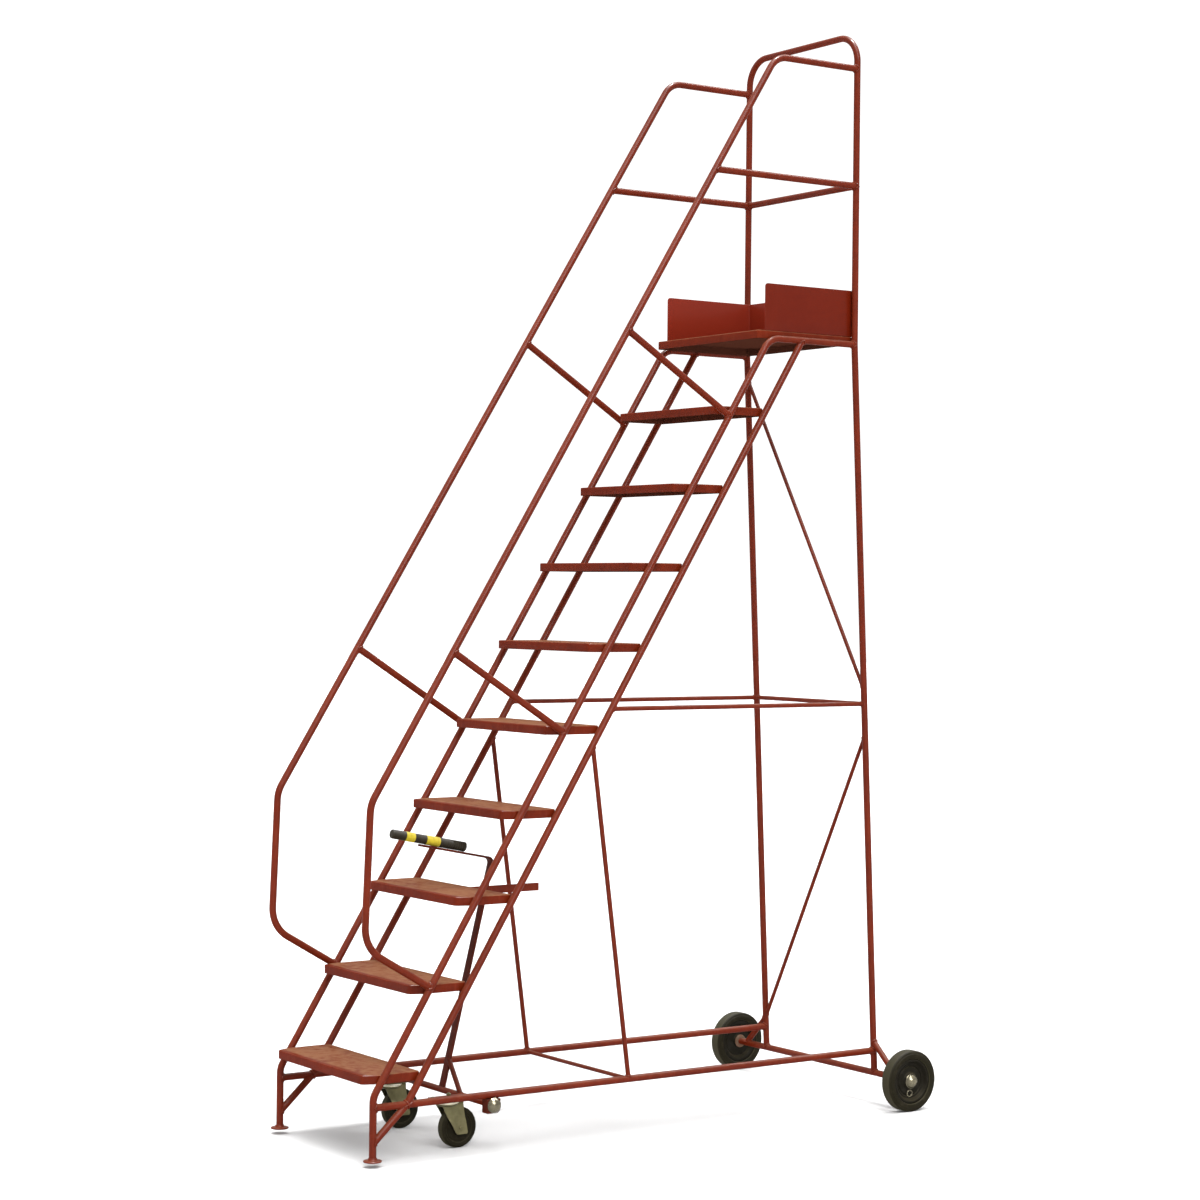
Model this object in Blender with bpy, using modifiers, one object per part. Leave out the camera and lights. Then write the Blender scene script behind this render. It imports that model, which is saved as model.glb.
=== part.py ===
"""Mobile ladder stand: a welded tube frame with pan treads and a guarded platform.

It has two plain rear wheels and a pair of swivel castors that a hand lever lowers.

Metres, +Z up, +Y the way up the steps, +X on the climber's right.
The floor is z = 0 and the middle of the footprint is x = y = 0.
Side positions are written from the front leg (y = 0 there) and moved to the middle by PLAN_SHIFT.
The lever is forward: the castors carry the front, and the two front feet hang clear of the floor.
"""

import math

import bmesh
import bpy
from mathutils import Matrix, Vector

# Steps
RISE = 0.254
RUN = 0.1586
TREADS = 9
FIRST_TREAD_Z = 0.2672
FIRST_NOSE_Y = -0.0245
TREAD_DEPTH = 0.1905
TREAD_LIP = 0.027
TREAD_CORNER = (0.018, 0.045)
TREAD_BACK_CORNER = 0.008
SHEET = 0.0025

# Frame tube
TUBE_D = 0.022
BRACE_D = 0.015
DIAGONAL_D = 0.013
HALF_WIDTH = 0.291
TUBE_SIDES = 16
BRACE_SIDES = 12
TURNED_SIDES = 32
SHAFT_SIDES = 24
GAP = 0.0003
BEND_STEP_DEG = 10.0
SHARP_DEG = 35.0
MERGE = 1e-6

# Side frames
BASE_RAIL_Z = 0.174
FOOT_BOTTOM_Z = 0.016
FOOT_PAD_D = 0.056
FOOT_PAD_H = 0.012
FOOT_PAD_EDGE = 0.006
FOOT_PAD_NECK_D = 0.0336
FRONT_SETBACK = 0.0633
REAR_SETBACK = 0.1973
LEG_BEND = 0.060
PLATFORM_BEND = 0.070
FOOT_STRUT_Z = 0.0685
MID_BAR_Z = 1.334
UPRIGHT_FOOT_Y = 0.918
UPRIGHT_TOP_Z = 1.223

# Platform and rear frame
PLATFORM_LENGTH = 0.3953
DECK_SETBACK = 0.0082
DECK_LIP = 0.027
DECK_CORNER = 0.006
SIDE_TUBE_DROP = 0.0262
TOE_BOARD_H = 0.153
TOE_BOARD_SHEET = 0.003
TOE_BOARD_SETBACKS = (0.041, 0.028)
TOE_BOARD_BEND = 0.006
HOOP_H = 1.0023
HOOP_BEND = 0.090
KNEE_H = 0.4998
POST_RAKE = 0.118
POST_BEND = 0.200
UPPER_DIAGONAL_ENDS = (0.081, 0.046)
LOWER_DIAGONAL_ENDS = (0.033, 0.104)

# Handrails
HANDRAIL_H = 0.8883
HANDRAIL_OFFSET = 0.4719
HANDRAIL_FOOT_Z = 0.513
HANDRAIL_ELBOW = (-0.0344, 0.6454)
HANDRAIL_KNEE_Z = 1.067
HANDRAIL_LOW_BEND = 0.105
HANDRAIL_KNEE_BEND = 0.100
HANDRAIL_TOP_BEND = 0.080
STRUT_Z = (1.5137, 2.517)

# Rear wheels
WHEEL_R = 0.100
WHEEL_OUTSET = 0.173
TYRE_W = 0.045
TYRE_DEPTH = 0.026
AXLE_D = 0.022
JOURNAL_D = 0.020
HUB_INNER = 0.024
HUB_OUTER = 0.012
CAP_SHAPE = ((0.55, 0.84), (0.85, 0.52))
AXLE_CAP_D = 0.050
AXLE_CAP_H = 0.018
AXLE_CAP_RIM = 0.0045
STAY_OUTSET = 0.1145
STAY_Z = 0.2055
STAY_D = 0.020
STAY_OVERHANG = 0.030
TYRE_SHOULDER = 0.003
TYRE_FLAT_INSET = 0.009
TYRE_WALL_INSET = 0.008
TYRE_BEAD = 0.004
RIM_HALF = 0.017
RIM_WALL = 0.008
RIM_SLOPE = 0.006
WEB_HALF = 0.004
WEB_ROOT = ((0.008, 0.022), (0.006, 0.026))
HUB_R = (0.018, 0.020)
WHEEL_SIDES = 40

# Rocking castor gear
SHAFT_Y = 0.411
SHAFT_D = 0.020
BLOCK_L = 0.048
BLOCK_W = 0.030
BLOCK_RISE = 0.019
BLOCK_DROP = 0.0245
SHAFT_CAP_D = 0.048
SHAFT_CAP_H = 0.019
SHAFT_CAP_RIM = 0.0038
CASTOR_X = 0.173
CASTOR_LEAD = 0.087
CASTOR_TRAIL = 0.038
CASTOR_R = 0.0625
CASTOR_W = 0.030
CASTOR_WEB_HALF = 0.009
CASTOR_RIM = 0.016
CASTOR_WALL = (0.013, 0.006)
CASTOR_SHOULDER = (0.004, 0.0015)
CASTOR_FLAT_HALF = 0.005
CASTOR_HUB_R = (0.015, 0.018)
CASTOR_HUB_PLAY = 0.001
CASTOR_PLATE_W = 0.080
CASTOR_PLATE_SHEET = 0.005
CASTOR_PLATE_FRONT = 0.042
CASTOR_PLATE_LIFT = 0.0043
FORK_SHEET = 0.003
FORK_GAP = 0.041
FORK_CROWN = 0.0046
FORK_TOP = (-0.042, 0.047)
FORK_FOOT = (-0.023, 0.026)
FORK_FOOT_DROP = 0.020
SWIVEL_HEAD_D = 0.080
SWIVEL_HEAD_H = 0.014
CASTOR_AXLE_D = 0.012
CASTOR_AXLE_END = 0.004
FORK_BLANK = (-0.070, 0.090)
FORK_BLANK_HALF = 0.050
CROWN_STEP = 0.0008

# Lever
LEVER_LEAN_DEG = 13.85
HANDLE_RISE_DEG = 11.2
LEVER_TREAD = 4
LEVER_DROP = 0.173
LEVER_WIDTH = 0.030
LEVER_SHEET = 0.005
LEVER_BEND = 0.018
HANDLE_LENGTH = 0.266
GRIP_START = 0.106
GRIP_LENGTH = 0.270
GRIP_D = 0.031
BRACE_ROD_D = 0.012
BRACE_ROD_X = 0.115
BRACE_ROD_UP = 0.096
LATCH_TREAD = 3
LATCH_LENGTH = 0.266
LATCH_SHEET = 0.005
LATCH_H = 0.025
LATCH_X = 0.022
LATCH_DROP = 0.003
GRIP_REAR_EDGE = 0.003
GRIP_NOSE = ((0.008, 0.0), (0.002, 0.005))

R = TUBE_D / 2
SLOPE = RUN / RISE
DECK_Z = FIRST_TREAD_Z + TREADS * RISE
DECK_FRONT = FIRST_NOSE_Y + TREADS * RUN + DECK_SETBACK
SIDE_TUBE_Z = DECK_Z - SIDE_TUBE_DROP
POST_Y = DECK_FRONT + PLATFORM_LENGTH
AXLE_Y = POST_Y + POST_RAKE
AXLE_Z = WHEEL_R
HANDRAIL_Z = DECK_Z + HANDRAIL_H
KNEE_Z = DECK_Z + KNEE_H
HOOP_Z = DECK_Z + HOOP_H
SHAFT_Z = BASE_RAIL_Z - R - GAP - BLOCK_RISE
LEVER_TOP_Z = FIRST_TREAD_Z + (LEVER_TREAD - 1) * RISE - LEVER_DROP
LEVER_LENGTH = (LEVER_TOP_Z - SHAFT_Z) / math.cos(math.radians(LEVER_LEAN_DEG))
WHEEL_PLANE_X = HALF_WIDTH + WHEEL_OUTSET
STAY_X = HALF_WIDTH + STAY_OUTSET
INSIDE = HALF_WIDTH - R - GAP
SIDES = (("left", -1.0), ("right", 1.0))

for obj in list(bpy.data.objects):
    bpy.data.objects.remove(obj, do_unlink=True)

stand = bpy.data.collections.new("mobile_ladder_stand")
tools = bpy.data.collections.new("cutters")
for group in (stand, tools):
    bpy.context.scene.collection.children.link(group)
tools.hide_render = True

MATERIALS = {}


def material(name, colour, roughness, metallic):
    made = bpy.data.materials.new(name)
    made.use_nodes = True
    shader = made.node_tree.nodes["Principled BSDF"]
    shader.inputs["Base Color"].default_value = (*colour, 1.0)
    shader.inputs["Roughness"].default_value = roughness
    shader.inputs["Metallic"].default_value = metallic
    MATERIALS[name] = made


material("red_paint", (0.26, 0.030, 0.016), 0.40, 0.0)
material("rubber_tyre", (0.018, 0.017, 0.013), 0.75, 0.0)
material("wheel_centre", (0.022, 0.020, 0.015), 0.60, 0.0)
material("zinc", (0.62, 0.60, 0.56), 0.30, 1.0)
material("gold_passivate", (0.42, 0.37, 0.20), 0.42, 1.0)
material("grip_rubber", (0.020, 0.019, 0.018), 0.70, 0.0)


def front_line(z):
    """Distance behind the leg of the front stringer's axis at height z."""
    return FIRST_NOSE_Y + FRONT_SETBACK + (z - FIRST_TREAD_Z) * SLOPE


def rear_line(z):
    return FIRST_NOSE_Y + REAR_SETBACK + (z - FIRST_TREAD_Z) * SLOPE


def handrail_line(z):
    return front_line(z) - HANDRAIL_OFFSET * math.hypot(1.0, SLOPE)


def post_line(z):
    """Rear post: upright above the platform tube, raked back below it."""
    below = max(0.0, SIDE_TUBE_Z - z) / (SIDE_TUBE_Z - AXLE_Z)
    return POST_Y + POST_RAKE * below


def filleted(corners, radii):
    """Corner points joined by straight runs, each inner corner replaced by an arc of its radius."""
    points = [Vector(corners[0])]
    for before, corner, after, radius in zip(corners, corners[1:], corners[2:], radii):
        corner = Vector(corner)
        back = (Vector(before) - corner).normalized()
        on = (Vector(after) - corner).normalized()
        turn = math.pi - back.angle(on)
        reach = radius * math.tan(turn / 2)
        middle = corner + (back + on).normalized() * (radius / math.cos(turn / 2))
        start = corner + back * reach - middle
        axis = back.cross(on).normalized()
        count = max(2, math.ceil(math.degrees(turn) / BEND_STEP_DEG))
        for i in range(count + 1):
            angle = -turn * i / count
            turned = start * math.cos(angle) + axis.cross(start) * math.sin(angle)
            points.append(middle + turned)
    points.append(Vector(corners[-1]))
    return points


def put(name, data, colour, helper=False):
    """Object for this mesh or curve: a piece with its finish, or a cutter that only shapes pieces."""
    made = bpy.data.objects.new(name, data)
    if helper:
        made.hide_render = True
        made.display_type = "WIRE"
        tools.objects.link(made)
    else:
        data.materials.append(MATERIALS[colour])
        stand.objects.link(made)
    return made


def shaded(mesh):
    mesh.shade_smooth()
    mesh.set_sharp_from_angle(angle=math.radians(SHARP_DEG))


def sweep(name, path, radius, sides, colour="red_paint", helper=False):
    """Round bar along a path of points: a bevelled curve, made a mesh so that it can be notched."""
    curve = bpy.data.curves.new(name, "CURVE")
    curve.dimensions = "3D"
    spline = curve.splines.new("POLY")
    spline.points.add(len(path) - 1)
    for point, place in zip(spline.points, path):
        point.co = (*place, 1.0)
    curve.bevel_depth = radius
    curve.bevel_resolution = sides // 2 - 2
    curve.use_fill_caps = True
    guide = put(name + "_line", curve, colour, helper)
    graph = bpy.context.evaluated_depsgraph_get()
    mesh = bpy.data.meshes.new_from_object(guide.evaluated_get(graph))
    bpy.data.objects.remove(guide, do_unlink=True)
    shape = bmesh.new()
    shape.from_mesh(mesh)
    bmesh.ops.remove_doubles(shape, verts=shape.verts, dist=MERGE)
    bmesh.ops.recalc_face_normals(shape, faces=shape.faces)
    shape.to_mesh(mesh)
    shape.free()
    mesh.name = name
    mesh.materials.clear()
    shaded(mesh)
    return put(name, mesh, colour, helper)


def lathe(name, profile, sides, colour, closed, helper=False):
    """Profile of (x, radius) points turned about the X axis through the object's origin."""
    count = len(profile)
    mesh = bpy.data.meshes.new(name)
    edges = [(i, i + 1) for i in range(count - 1)] + ([(count - 1, 0)] if closed else [])
    mesh.from_pydata([(x, 0.0, radius) for x, radius in profile], edges, [])
    made = put(name, mesh, colour, helper)
    after = profile[1:] + profile[:1]
    area = sum(a[0] * b[1] - b[0] * a[1] for a, b in zip(profile, after))
    turn = made.modifiers.new("turn", "SCREW")
    turn.axis = "X"
    turn.steps = sides
    turn.render_steps = sides
    turn.use_merge_vertices = True
    turn.merge_threshold = MERGE
    turn.use_normal_flip = area < 0.0
    turn.use_smooth_shade = True
    return made


def prism(name, outline, low, high, place, colour="red_paint", helper=False):
    """Flat outline of 2-D points thickened from low to high; place puts (a, b, along) in space."""
    mesh = bpy.data.meshes.new(name)
    mesh.from_pydata([place(a, b, low) for a, b in outline], [], [range(len(outline))])
    along = Vector(place(0.0, 0.0, 1.0)) - Vector(place(0.0, 0.0, 0.0))
    if mesh.polygons[0].normal.dot(along) > 0.0:
        mesh.flip_normals()
    made = put(name, mesh, colour, helper)
    wall = made.modifiers.new("thickness", "SOLIDIFY")
    wall.thickness = high - low
    wall.offset = -1.0
    return made


def in_yz(a, b, along):
    return (along, a, b)


def in_xz(a, b, along):
    return (a, along, b)


def in_xy(a, b, along):
    return (a, b, along)


def tray_outline(half, front, back, cut, corner, steps=4):
    """Plan outline, symmetrical in X: front corners cut straight, back corners rounded."""
    outline = [(half - cut[0], front), (half, front + cut[1])]
    for sign, turn in ((1.0, 0), (-1.0, 90)):
        for i in range(steps + 1):
            angle = math.radians(turn + 90 * i / steps)
            outline.append(
                (
                    sign * (half - corner) + corner * math.cos(angle),
                    back - corner + corner * math.sin(angle),
                )
            )
    return outline + [(-half, front + cut[1]), (-half + cut[0], front)]


def pan(name, half, front, back, top, lip, cut, corner):
    """Folded sheet tray, open below: a top with a lip turned down all round."""
    outline = tray_outline(half, front, back, cut, corner)
    count = len(outline)
    verts = [(x, y, top) for x, y in outline] + [(x, y, top - lip) for x, y in outline]
    faces = [range(count)]
    faces += [(j, j + count, (j + 1) % count + count, (j + 1) % count) for j in range(count)]
    mesh = bpy.data.meshes.new(name)
    mesh.from_pydata(verts, [], faces)
    shaded(mesh)
    made = put(name, mesh, "red_paint")
    wall = made.modifiers.new("sheet", "SOLIDIFY")
    wall.thickness = SHEET
    wall.offset = -1.0
    wall.use_even_offset = True
    return made


def modify(obj, tool, operation="DIFFERENCE"):
    change = obj.modifiers.new(tool.name, "BOOLEAN")
    change.operation = operation
    change.solver = "EXACT"
    change.object = tool


TUBES = {}
NOTCHES = []


def tube(name, path, diameter, sides, cut_by=()):
    """Round tube, modelled solid, with its ends notched to sit on the tubes named in cut_by."""
    made = sweep(name, path, diameter / 2, sides)
    TUBES[name] = (path, diameter, sides)
    NOTCHES.extend((made, other) for other in cut_by)
    return made


def notch_of(name):
    """Cutter a hair larger than the tube of that name."""
    path, diameter, sides = TUBES[name]
    radius = (diameter / 2 + GAP) / math.cos(math.pi / sides)
    return sweep(name + "_notch", path, radius, sides, helper=True)


def notch_tubes():
    cutters = {other: notch_of(other) for other in dict.fromkeys(other for _, other in NOTCHES)}
    for made, other in NOTCHES:
        modify(made, cutters[other])


def carry(piece, carrier):
    """Parents a piece to what it moves with, and leaves it where it is."""
    piece.parent = carrier
    piece.matrix_parent_inverse = Matrix.Translation(-carrier.location)


def handrail_path():
    """Side view of a handrail as (y, z) corner points and the radius of each bend."""
    corners = [
        (front_line(HANDRAIL_FOOT_Z), HANDRAIL_FOOT_Z),
        HANDRAIL_ELBOW,
        (handrail_line(HANDRAIL_KNEE_Z), HANDRAIL_KNEE_Z),
        (handrail_line(HANDRAIL_Z), HANDRAIL_Z),
        (POST_Y, HANDRAIL_Z),
    ]
    return corners, (HANDRAIL_LOW_BEND, HANDRAIL_KNEE_BEND, HANDRAIL_TOP_BEND)


rail_corners, rail_bends = handrail_path()
rail_front = min(p.y for p in filleted([(0, y, z) for y, z in rail_corners], rail_bends)) - R
PLAN_SHIFT = -(rail_front + AXLE_Y + WHEEL_R) / 2


def at(x, y, z):
    """Point of the frame from its distance behind the front leg."""
    return Vector((x, y + PLAN_SHIFT, z))


# Rear hoop: both posts and the top rail, one bent tube
hoop = [
    at(-HALF_WIDTH, AXLE_Y, AXLE_Z),
    at(-HALF_WIDTH, POST_Y, SIDE_TUBE_Z),
    at(-HALF_WIDTH, POST_Y, HOOP_Z),
    at(HALF_WIDTH, POST_Y, HOOP_Z),
    at(HALF_WIDTH, POST_Y, SIDE_TUBE_Z),
    at(HALF_WIDTH, AXLE_Y, AXLE_Z),
]
axle_reach = STAY_X + STAY_OVERHANG
axle_line = [at(-axle_reach, AXLE_Y, AXLE_Z), at(axle_reach, AXLE_Y, AXLE_Z)]
TUBES["axle_tube"] = (axle_line, AXLE_D, TUBE_SIDES)
tube(
    "rear_hoop",
    filleted(hoop, (POST_BEND, HOOP_BEND, HOOP_BEND, POST_BEND)),
    TUBE_D,
    TUBE_SIDES,
    ("axle_tube",),
)

# Side frames
leg_bend_z = FIRST_TREAD_Z - (FIRST_NOSE_Y + FRONT_SETBACK) / SLOPE
foot_top = FOOT_BOTTOM_Z + FOOT_PAD_H
square = math.hypot(1.0, SLOPE)
for side, sign in SIDES:
    x = sign * HALF_WIDTH
    stringer = "stringer_front_" + side
    stringer_rear = "stringer_rear_" + side
    rail = "handrail_" + side
    base = "base_rail_" + side
    tube(
        stringer,
        filleted(
            [
                at(x, 0.0, foot_top + GAP),
                at(x, 0.0, leg_bend_z),
                at(x, front_line(SIDE_TUBE_Z), SIDE_TUBE_Z),
                at(x, POST_Y, SIDE_TUBE_Z),
            ],
            (LEG_BEND, PLATFORM_BEND),
        ),
        TUBE_D,
        TUBE_SIDES,
        ("rear_hoop",),
    )
    tube(
        base,
        [at(x, 0.0, BASE_RAIL_Z), at(x, post_line(BASE_RAIL_Z), BASE_RAIL_Z)],
        TUBE_D,
        TUBE_SIDES,
        (stringer, "rear_hoop"),
    )
    tube(
        stringer_rear,
        [
            at(x, rear_line(BASE_RAIL_Z), BASE_RAIL_Z),
            at(x, rear_line(SIDE_TUBE_Z), SIDE_TUBE_Z),
        ],
        TUBE_D,
        TUBE_SIDES,
        (base, stringer),
    )
    tube(
        "foot_strut_" + side,
        [at(x, 0.0, FOOT_STRUT_Z), at(x, rear_line(BASE_RAIL_Z), BASE_RAIL_Z)],
        TUBE_D,
        TUBE_SIDES,
        (stringer, base),
    )
    tube(
        rail,
        filleted([at(x, y, z) for y, z in rail_corners], rail_bends),
        TUBE_D,
        TUBE_SIDES,
        (stringer, "rear_hoop"),
    )
    for label, z in zip(("lower", "upper"), STRUT_Z):
        start = (handrail_line(z), z)
        end = (start[0] + HANDRAIL_OFFSET / square, z - HANDRAIL_OFFSET * SLOPE / square)
        tube(
            "handrail_strut_" + label + "_" + side,
            [at(x, *start), at(x, *end)],
            TUBE_D,
            TUBE_SIDES,
            (rail, stringer),
        )
    tube(
        "knee_rail_" + side,
        [at(x, handrail_line(KNEE_Z), KNEE_Z), at(x, POST_Y, KNEE_Z)],
        TUBE_D,
        TUBE_SIDES,
        (rail, "rear_hoop"),
    )
    tube(
        "mid_upright_" + side,
        [at(x, UPRIGHT_FOOT_Y, BASE_RAIL_Z), at(x, rear_line(UPRIGHT_TOP_Z), UPRIGHT_TOP_Z)],
        BRACE_D,
        BRACE_SIDES,
        (base, stringer_rear),
    )
    tube(
        "mid_side_bar_" + side,
        [at(x, rear_line(MID_BAR_Z), MID_BAR_Z), at(x, post_line(MID_BAR_Z), MID_BAR_Z)],
        BRACE_D,
        BRACE_SIDES,
        (stringer_rear, "rear_hoop"),
    )
    tube(
        "axle_stay_" + side,
        [at(x, post_line(STAY_Z), STAY_Z), at(sign * STAY_X, AXLE_Y, AXLE_Z + 2 * GAP)],
        STAY_D,
        BRACE_SIDES,
        ("rear_hoop", "axle_tube"),
    )
    pad = lathe(
        "foot_pad_" + side,
        [
            (0.0, 0.0),
            (0.0, FOOT_PAD_D / 2),
            (FOOT_PAD_EDGE, FOOT_PAD_D / 2),
            (FOOT_PAD_H, FOOT_PAD_NECK_D / 2),
            (FOOT_PAD_H, 0.0),
        ],
        TURNED_SIDES,
        "red_paint",
        False,
    )
    pad.rotation_euler = (0.0, -math.pi / 2, 0.0)
    pad.location = at(x, 0.0, FOOT_BOTTOM_Z)

# Cross tubes
for name, y, z, diameter, sides, ends in (
    (
        "knee_rail_back",
        POST_Y,
        KNEE_Z,
        TUBE_D,
        TUBE_SIDES,
        ("rear_hoop", "knee_rail_left", "knee_rail_right"),
    ),
    ("mid_cross_bar", post_line(MID_BAR_Z), MID_BAR_Z, BRACE_D, BRACE_SIDES, ("rear_hoop",)),
    (
        "base_cross_bar",
        UPRIGHT_FOOT_Y,
        BASE_RAIL_Z,
        DIAGONAL_D,
        BRACE_SIDES,
        ("base_rail_left", "base_rail_right"),
    ),
):
    tube(name, [at(-HALF_WIDTH, y, z), at(HALF_WIDTH, y, z)], diameter, sides, ends)
upper = (SIDE_TUBE_Z - UPPER_DIAGONAL_ENDS[0], MID_BAR_Z + UPPER_DIAGONAL_ENDS[1])
lower = (BASE_RAIL_Z + LOWER_DIAGONAL_ENDS[0], MID_BAR_Z - LOWER_DIAGONAL_ENDS[1])
for name, (left_z, right_z) in (("rear_brace_upper", upper), ("rear_brace_lower", lower)):
    tube(
        name,
        [
            at(-HALF_WIDTH, post_line(left_z), left_z),
            at(HALF_WIDTH, post_line(right_z), right_z),
        ],
        DIAGONAL_D,
        BRACE_SIDES,
        ("rear_hoop",),
    )

notch_tubes()

# Treads, platform deck and toe board
for step in range(TREADS):
    nose = FIRST_NOSE_Y + step * RUN + PLAN_SHIFT
    pan(
        "tread_" + str(step + 1),
        INSIDE,
        nose,
        nose + TREAD_DEPTH,
        FIRST_TREAD_Z + step * RISE,
        TREAD_LIP,
        TREAD_CORNER,
        TREAD_BACK_CORNER,
    )
pan(
    "platform_deck",
    INSIDE,
    DECK_FRONT + PLAN_SHIFT,
    POST_Y + PLAN_SHIFT,
    DECK_Z,
    DECK_LIP,
    (DECK_CORNER, DECK_CORNER),
    DECK_CORNER,
)
board_left, board_right = (DECK_FRONT + setback for setback in TOE_BOARD_SETBACKS)
outline = []
for inset, turn in ((0.0, TOE_BOARD_BEND), (TOE_BOARD_SHEET, TOE_BOARD_BEND - TOE_BOARD_SHEET)):
    half = INSIDE - inset
    corners = [
        (-half, board_left, 0.0),
        (-half, POST_Y - inset, 0.0),
        (half, POST_Y - inset, 0.0),
        (half, board_right, 0.0),
    ]
    run = [(p.x, p.y + PLAN_SHIFT) for p in filleted(corners, (turn, turn))]
    outline += run if inset == 0.0 else run[::-1]
board_low = DECK_Z + GAP
prism("toe_board", outline, board_low, board_low + TOE_BOARD_H, in_xy)

# Rear axle and wheels
journal = WHEEL_PLANE_X + HUB_OUTER + GAP
shoulder = WHEEL_PLANE_X - HUB_INNER - GAP
axle = lathe(
    "axle_tube",
    [
        (-journal, 0.0),
        (-journal, JOURNAL_D / 2),
        (-shoulder, JOURNAL_D / 2),
        (-shoulder, AXLE_D / 2),
        (shoulder, AXLE_D / 2),
        (shoulder, JOURNAL_D / 2),
        (journal, JOURNAL_D / 2),
        (journal, 0.0),
    ],
    TUBE_SIDES,
    "red_paint",
    False,
)
axle.location = at(0.0, AXLE_Y, AXLE_Z)
seat = WHEEL_R - TYRE_DEPTH
bore = JOURNAL_D / 2 + GAP
wall = TYRE_W / 2
for side, sign in SIDES:
    centre = at(sign * WHEEL_PLANE_X, AXLE_Y, AXLE_Z)
    tyre = lathe(
        "rear_tyre_" + side,
        [
            (-wall + TYRE_SHOULDER, seat + GAP),
            (-wall, seat + TYRE_BEAD),
            (-wall, WHEEL_R - TYRE_WALL_INSET),
            (-wall + TYRE_SHOULDER, WHEEL_R - TYRE_SHOULDER),
            (-wall + TYRE_FLAT_INSET, WHEEL_R),
            (wall - TYRE_FLAT_INSET, WHEEL_R),
            (wall - TYRE_SHOULDER, WHEEL_R - TYRE_SHOULDER),
            (wall, WHEEL_R - TYRE_WALL_INSET),
            (wall, seat + TYRE_BEAD),
            (wall - TYRE_SHOULDER, seat + GAP),
        ],
        WHEEL_SIDES,
        "rubber_tyre",
        True,
    )
    middle = lathe(
        "rear_wheel_centre_" + side,
        [
            (-sign * HUB_INNER, bore),
            (-sign * HUB_INNER, HUB_R[0]),
            (-sign * WEB_ROOT[0][0], WEB_ROOT[0][1]),
            (-sign * WEB_HALF, seat - RIM_WALL - RIM_SLOPE),
            (-sign * RIM_HALF, seat - RIM_WALL),
            (-sign * RIM_HALF, seat),
            (sign * RIM_HALF, seat),
            (sign * RIM_HALF, seat - RIM_WALL),
            (sign * WEB_HALF, seat - RIM_WALL - RIM_SLOPE),
            (sign * WEB_ROOT[1][0], WEB_ROOT[1][1]),
            (sign * HUB_OUTER, HUB_R[1]),
            (sign * HUB_OUTER, bore),
        ],
        WHEEL_SIDES,
        "wheel_centre",
        True,
    )
    low = sign * (journal - WHEEL_PLANE_X + GAP)
    cap = lathe(
        "axle_cap_" + side,
        [
            (low, 0.0),
            (low, AXLE_CAP_D / 2),
            (low + sign * AXLE_CAP_RIM, AXLE_CAP_D / 2),
            *((low + sign * AXLE_CAP_H * up, AXLE_CAP_D / 2 * out) for up, out in CAP_SHAPE),
            (low + sign * AXLE_CAP_H, 0.0),
        ],
        TURNED_SIDES,
        "zinc",
        False,
    )
    for piece in (tyre, middle, cap):
        piece.location = centre

# Rocking shaft in its two bearing blocks
pivot = at(0.0, SHAFT_Y, SHAFT_Z)
end = HALF_WIDTH + BLOCK_W / 2 + GAP
profile = [
    (end + SHAFT_CAP_H, 0.0),
    *((end + SHAFT_CAP_H * up, SHAFT_CAP_D / 2 * out) for up, out in reversed(CAP_SHAPE)),
    (end + SHAFT_CAP_RIM, SHAFT_CAP_D / 2),
    (end, SHAFT_CAP_D / 2),
    (end, SHAFT_D / 2),
]
profile += [(-a, b) for a, b in reversed(profile)]
shaft = lathe("rocker_shaft", profile, SHAFT_SIDES, "red_paint", False)
shaft.location = pivot
rocker = bpy.data.objects.new("rocking_gear", None)
rocker.location = pivot
stand.objects.link(rocker)
carry(shaft, rocker)
around = (SHAFT_D / 2 + GAP) / math.cos(math.pi / SHAFT_SIDES)
clear = lathe(
    "rocker_shaft_notch",
    [(-end, 0.0), (-end, around), (end, around), (end, 0.0)],
    SHAFT_SIDES,
    "red_paint",
    False,
    helper=True,
)
clear.location = pivot
for side, sign in SIDES:
    block = prism(
        "rocker_block_" + side,
        [
            (-BLOCK_L / 2, -BLOCK_DROP),
            (BLOCK_L / 2, -BLOCK_DROP),
            (BLOCK_L / 2, BLOCK_RISE),
            (-BLOCK_L / 2, BLOCK_RISE),
        ],
        -BLOCK_W / 2,
        BLOCK_W / 2,
        in_yz,
    )
    block.location = pivot + Vector((sign * HALF_WIDTH, 0.0, 0.0))
    modify(block, clear)

# Lever: flat bar up from the shaft and forward under the grip, with a side brace
lean = math.radians(LEVER_LEAN_DEG)
rise = math.radians(HANDLE_RISE_DEG)
up = Vector((0.0, math.sin(lean), math.cos(lean)))
forward = Vector((0.0, -math.cos(rise), math.sin(rise)))
over = Vector((0.0, math.sin(rise), math.cos(rise)))
corner = up * LEVER_LENGTH
line = filleted([Vector((0, 0, 0)), corner, corner + forward * HANDLE_LENGTH], (LEVER_BEND,))
outline = []
for offset in (LEVER_SHEET / 2, -LEVER_SHEET / 2):
    shifted = []
    for i, point in enumerate(line):
        before = line[max(0, i - 1)]
        after = line[min(len(line) - 1, i + 1)]
        along = (after - before).normalized()
        shifted.append((point.y + along.z * offset, point.z - along.y * offset))
    outline += shifted if offset > 0 else shifted[::-1]
lever = prism("lever_bar", outline, -LEVER_WIDTH / 2, LEVER_WIDTH / 2, in_yz)
lever.location = pivot
rod = sweep(
    "lever_brace_rod",
    [Vector((0, 0, 0)) + up * BRACE_ROD_UP, Vector((BRACE_ROD_X, 0.0, 0.0))],
    BRACE_ROD_D / 2,
    BRACE_SIDES,
    helper=True,
)
rod.location = pivot
modify(lever, rod, "UNION")
modify(lever, clear)
grip_r = GRIP_D / 2
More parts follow.
